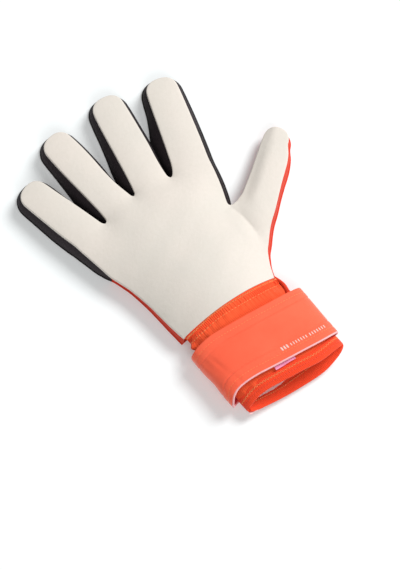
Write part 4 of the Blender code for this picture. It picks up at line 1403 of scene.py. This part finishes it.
fold_path, fold_n = [], []
for v in np.linspace(0, 1, 30):
    y = 10.0 - 25.0 * v
    a = -0.22 + 0.66 * v
    o = 0.2 + 1.5 * math.sin(PI * v)
    p, q = wrist(y, a, o), wrist(y, a, o + 1)
    fold_path.append(p); fold_n.append(q - p)
ob = tube("wrist_side_fold", fold_path, 1.3, BACK, sides=12, normals=fold_n, flat=(1.5, 1.9))
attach(ob, "hand")
fold_path, fold_n = [], []
for v in np.linspace(0, 1, 30):
    y = 8.0 - 22.0 * v
    a = -0.38 + 0.50 * v
    o = 0.1 + 1.0 * math.sin(PI * v)
    p, q = wrist(y, a, o), wrist(y, a, o + 1)
    fold_path.append(p); fold_n.append(q - p)
ob = tube("wrist_side_fold_outer", fold_path, 1.2, BACK, sides=12, normals=fold_n, flat=(1.4, 1.8))
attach(ob, "hand")


# ------------------------------------------------------------------ strap
def strap_point(y, a, off=0.0):
    mid, half, top, low, waist = 5.4 + 0.135 * (-14.0 - y), 50.2, 31.2, 0.1, 14.0

    def at(b):
        c, s = math.cos(b), math.sin(b)
        rise = (top - waist) if s >= 0 else (waist - low)
        return np.array([mid + half * math.copysign(abs(c) ** 0.8, c), waist + rise * math.copysign(abs(s) ** 0.8, s)])

    p = at(a)
    if off:
        q0, q1 = at(a - 0.03), at(a + 0.03)
        t = (q1 - q0) / np.linalg.norm(q1 - q0)
        p = p + np.array([t[1], -t[0]]) * off
    return np.array([p[0], y, p[1]])


strap_top_y = table([(-8, -13.2), (-2, -13.0), (2.2, -12.8), (7.0, -12.9), (12.7, -12.6), (16.4, -11.5), (21.3, -10.9), (25.6, -12.9), (28.1, -14.3), (31.4, -15.2), (36, -15.4), (42, -14.5)])
strap_low_y = table([(-8, -55.6), (-2, -55.8), (1.6, -56.1), (6.0, -56.8), (10.1, -57.0), (14.7, -56.0), (16.6, -55.0), (19.4, -53.8), (22.2, -53.9), (24.3, -55.0), (26.3, -57.2), (29.6, -61.6), (32.5, -62.6), (36, -61.0), (42, -57.5)])


DENTS = [(rng.uniform(2.2, 3.3), rng.uniform(-52, -16), rng.uniform(0.06, 0.16), rng.uniform(4, 12), rng.uniform(-0.6, 0.45)) for _ in range(14)]


def strap_relief(a, y):
    top, low = strap_top_y(a), strap_low_y(a)
    u, v = top - y, y - low
    z = 0.0
    for line, depth in ((4.0, 0.30), (9.2, 0.42)):
        z -= depth * math.exp(-((u - line) / 0.55) ** 2)
    z += 0.22 * (1 - float(smooth(8.6, 9.6, u)))
    for line, depth in ((4.6, 0.30), (10.2, 0.42)):
        z -= depth * math.exp(-((v - line) / 0.55) ** 2)
    z += 0.22 * (1 - float(smooth(9.6, 10.6, v)))
    for fa, fy, wa, wy, amp in DENTS:
        z += amp * math.exp(-((a - fa - 0.006 * (y - fy)) / wa) ** 2 - ((y - fy) / wy) ** 2)
    z += 0.25 * math.sin(a * 3.0 + y * 0.05) * math.sin(y * 0.09 + a)
    return z


S0, S1 = -0.62, PI + 0.93
sg = np.zeros((72, 170, 3))
for i, v in enumerate(np.linspace(0, 1, 72)):
    for j, a in enumerate(np.linspace(S0, S1, 170)):
        y = strap_top_y(a) + (strap_low_y(a) - strap_top_y(a)) * v
        sg[i, j] = strap_point(y, a, strap_relief(a, y))
ob = thick_grid("strap_band_cloth", sg, 1.5, STRAP)
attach(ob, "hand"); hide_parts("strap_band")
sl = np.zeros((20, 110, 3))
for i, v in enumerate(np.linspace(0, 1, 20)):
    for j, a in enumerate(np.linspace(S0 + 0.1, S1 - 0.1, 110)):
        y = strap_top_y(a) - 0.8 + (strap_low_y(a) + 0.9 - strap_top_y(a)) * v
        sl[i, j] = strap_point(y, a, strap_relief(a, y) - 1.6)
ob = thick_grid("strap_lining_cloth", sl, 0.7, CRIMSON)
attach(ob, "hand"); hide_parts("strap_lining")
pp, pn = [], []
for a in np.linspace(S0 + 0.02, S1 - 0.02, 220):
    y = strap_low_y(a)
    p = strap_point(y - 0.9, a, strap_relief(a, y) - 0.75)
    q = strap_point(y - 0.9, a, strap_relief(a, y) + 0.25)
    pp.append(p); pn.append(q - p)
ob = tube("strap_piping_cord", pp, 0.8, PALE, sides=10, normals=pn)
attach(ob, "hand"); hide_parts("strap_piping")


def strap_row(name, a0, a1, yf, mat, off=0.12, **kw):
    path, nn = [], []
    for a in np.linspace(a0, a1, 240):
        y = yf(a)
        p = strap_point(y, a, strap_relief(a, y) + off)
        q = strap_point(y, a, strap_relief(a, y) + off + 1.0)
        path.append(p); nn.append((q - p) / np.linalg.norm(q - p))
    ob = stitch_row(name, path, nn, mat, **kw)
    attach(ob, "hand")
    return ob


strap_row("strap_top_stitch", S0 + 0.1, S1 - 0.1, lambda a: strap_top_y(a) - 4.0, THREAD, off=-0.02, length=1.7, gap=0.8, radius=0.17)
strap_row("strap_low_stitch", S0 + 0.1, S1 - 0.1, lambda a: strap_low_y(a) + 4.6, THREAD, off=-0.02, length=1.7, gap=0.8, radius=0.17)


# plain printed dashes along the strap's lower edge
def dash(a0, a1, y0, y1, verts, faces):
    base = len(verts)
    nu = 5
    for k, off in ((0, 0.14), (1, -0.15)):
        for a in np.linspace(a0, a1, nu):
            for y in (y0(a), y1(a)):
                verts.append(strap_point(y, a, strap_relief(a, y) + off))
    w = 2
    top, bot = base, base + nu * w
    for j in range(nu - 1):
        faces.append((top + j * w, top + j * w + 1, top + (j + 1) * w + 1, top + (j + 1) * w))
        faces.append((bot + j * w, bot + (j + 1) * w, bot + (j + 1) * w + 1, bot + j * w + 1))
        faces.append((top + j * w, top + (j + 1) * w, bot + (j + 1) * w, bot + j * w))
        faces.append((top + j * w + 1, bot + j * w + 1, bot + (j + 1) * w + 1, top + (j + 1) * w + 1))
    for j in (0, nu - 1):
        faces.append((top + j * w, bot + j * w, bot + j * w + 1, top + j * w + 1))


def strap_angle(x):
    lo_a, hi_a = 0.05, PI / 2
    for _ in range(30):
        m = (lo_a + hi_a) / 2
        if strap_point(-46.0, m)[0] > x:
            lo_a = m
        else:
            hi_a = m
    return m


dv, df = [], []
xs = 14.2
MARKS = [(1.3, 1.6, 1.0)] * 3 + [(0.0, 0.0, 1.2)] + [(0.75, 1.25, 1.45)] * 7 + [(0.0, 0.0, 1.1)] + [(0.75, 1.25, 1.45)] * 7
for wide, tall, gap in MARKS:      # plain ticks: a heavier group, then two lighter ones
    if wide:
        dash(strap_angle(xs), strap_angle(xs + wide), lambda a: strap_low_y(a) + 7.6 + tall, lambda a: strap_low_y(a) + 7.6 - tall, dv, df)
    xs += wide + gap
ob = orient_out(piece("strap_printed_ticks", dv, df, PRINT))
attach(ob, "hand")

# tab under the strap's edge and label in the cuff's corner
def patch(name, x0, x1, y0, y1, zf, thick, mat, nu=16, nv=10):
    g = np.zeros((nv, nu, 3))
    for i, v in enumerate(np.linspace(0, 1, nv)):
        for j, u in enumerate(np.linspace(0, 1, nu)):
            x, y = x0 + (x1 - x0) * u, y0 + (y1 - y0) * v
            g[i, j] = (x, y, zf(x, y))
    return thick_grid(name, g, thick, mat, sharp=35)


def cuff_z(x, y):
    u = (x - cuff_mid(y)) / cuff_half(y)
    a = math.acos(max(-1, min(1, math.copysign(abs(u) ** (1 / 0.84), u))))
    return wrist(y, a)[2]


ob = patch("strap_tab_tape", 3.2, 20.8, -48.0, -58.9, lambda x, y: cuff_z(x, y) + 1.5 + 0.4 * math.sin(x * 0.5), 0.7, LILAC)
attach(ob, "hand"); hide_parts("strap_tab")
ob = patch("care_label_tape", -29.5, -22.5, -62.0, -74.6, lambda x, y: 9.4 + 0.05 * (y + 62) + 0.25 * math.sin(x), 0.5, LABEL)
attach(ob, "hand"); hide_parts("care_label")

# ------------------------------------------------------------------ the strap's free tail, its hook and loop, the palm lining
TAIL_HINGE = ((52.8, -13.4), (58.5, -55.4))
TAIL_END = -14.0
TAIL_TOP, TAIL_LOW = -14.2, -54.6


def hinge_x(y):
    (xa, ya), (xb, yb) = TAIL_HINGE
    return xa + (xb - xa) * (y - ya) / (yb - ya)


def tail_edges(x):
    """The tail's top and bottom edge at x: straight along its sides, rounded at the free end."""
    mid, half = (TAIL_TOP + TAIL_LOW) / 2, (TAIL_TOP - TAIL_LOW) / 2
    u = min(1.0, max(0.0, (x - (TAIL_END + 0.9)) / 9.0))
    r = math.sqrt(max(0.0, 1 - (1 - u) ** 2))
    return mid + half * r, mid - half * r


def tail_grid(x_end, start, top, low, z, rounded, ripple=0.0, n_x=44, n_y=22):
    g = np.zeros((n_x, n_y, 3))
    for i, u in enumerate(np.linspace(0, 1, n_x)):
        uu = 1 - math.cos(u * PI / 2)              # closer together at the free end
        x0 = x_end + (54.5 - start - x_end) * uu
        ya, yb = tail_edges(x0 + 0.05) if rounded else (top, low)
        for j, v in enumerate(np.linspace(0, 1, n_y)):
            y = ya + (yb - ya) * v
            x = x0 + (hinge_x(y) - 54.5) * uu
            g[i, j] = (x, y, z + ripple * math.sin(x * 0.42 + y * 0.2) * math.sin(PI * v))
    return g


ob = thick_grid("strap_tail_cloth", tail_grid(TAIL_END + 0.9, 1.4, 0, 0, 1.95, True, 0.08), 1.55, STRAP, sharp=35)
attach(ob, "strap_tail"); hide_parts("strap_tail")
ob = thick_grid("hook_tape_cloth", tail_grid(TAIL_END + 4.6, 22.8, -18.8, -50.0, 3.05, False, 0.04), 0.95, HOOK, sharp=35)
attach(ob, "strap_tail"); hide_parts("hook_patch")
ob = thick_grid("loop_tape_cloth", tail_grid(TAIL_END + 1.9, 21.0, -17.0, -51.8, 4.6, False, 0.05), 1.0, CRIMSON, sharp=35)
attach(ob, "hand"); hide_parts("loop_patch")

# the strap turns under the cuff's edge and becomes the tail: the fold that the tail peels on
turn = np.zeros((15, 26, 3))
for j, v in enumerate(np.linspace(0, 1, 26)):
    y = -14.6 - 39.6 * v
    hx = hinge_x(y)
    pa, pb = strap_point(y, -0.16, 0.15), strap_point(y, -0.28, 0.35)
    way = catmull([pa, pb, (hx + 1.7, y, 6.0), (hx + 1.7, y, 3.2), (hx + 1.1, y, 1.0), (hx - 0.5, y, 0.28), (hx - 3.2, y, 0.28)], 0.4)
    far = np.concatenate([[0], np.cumsum(np.linalg.norm(np.diff(np.asarray(way), axis=0), axis=1))])
    for k in range(3):
        turn[:, j, k] = np.interp(np.linspace(0, far[-1], 15), far, np.asarray(way)[:, k])
ob = thick_grid("strap_turn_cloth", turn, 1.4, STRAP, sharp=35)
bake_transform(ob)

# stitching along the tail's edges and round its end, on the outer face
rim = [(x, tail_edges(x)[0] - 2.4, 0.42) for x in np.linspace(47.0, TAIL_END + 10.0, 26)]
mid, half = (TAIL_TOP + TAIL_LOW) / 2, (TAIL_TOP - TAIL_LOW) / 2 - 2.4
for b in np.linspace(PI / 2, -PI / 2, 19)[1:-1]:
    rim.append((TAIL_END + 10.0 - 6.8 * math.cos(b), mid + half * math.sin(b), 0.42))
rim += [(x, tail_edges(x)[1] + 2.4, 0.42) for x in np.linspace(TAIL_END + 10.0, 47.0, 26)]
ob = stitch_row("strap_tail_stitch", rim, [(0.0, 0.0, -1.0)] * len(rim), THREAD, length=2.2, gap=0.9, radius=0.26, lift=0.05)
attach(ob, "strap_tail")

# the palm lining follows its CAD shape, with the small waves of a thin knit
src = frame["nodes"]["palm_lining"]
bmm = bmesh.new()
bmm.from_mesh(src.data)
bmesh.ops.subdivide_edges(bmm, edges=[e for e in bmm.edges if e.calc_length() > 0.006], cuts=2, use_grid_fill=True)
bmesh.ops.triangulate(bmm, faces=bmm.faces[:])
lv = np.array([src.matrix_world @ v.co for v in bmm.verts]) / MM - SHIFT
lf = [[v.index for v in f.verts] for f in bmm.faces]
bmm.free()
lv[:, 2] += 0.12 * np.sin(lv[:, 0] * 0.55) * np.sin(lv[:, 1] * 0.37)
ob = orient_out(piece("palm_lining_cloth", lv, lf, LINING, sharp=35))
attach(ob, "hand"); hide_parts("palm_lining")
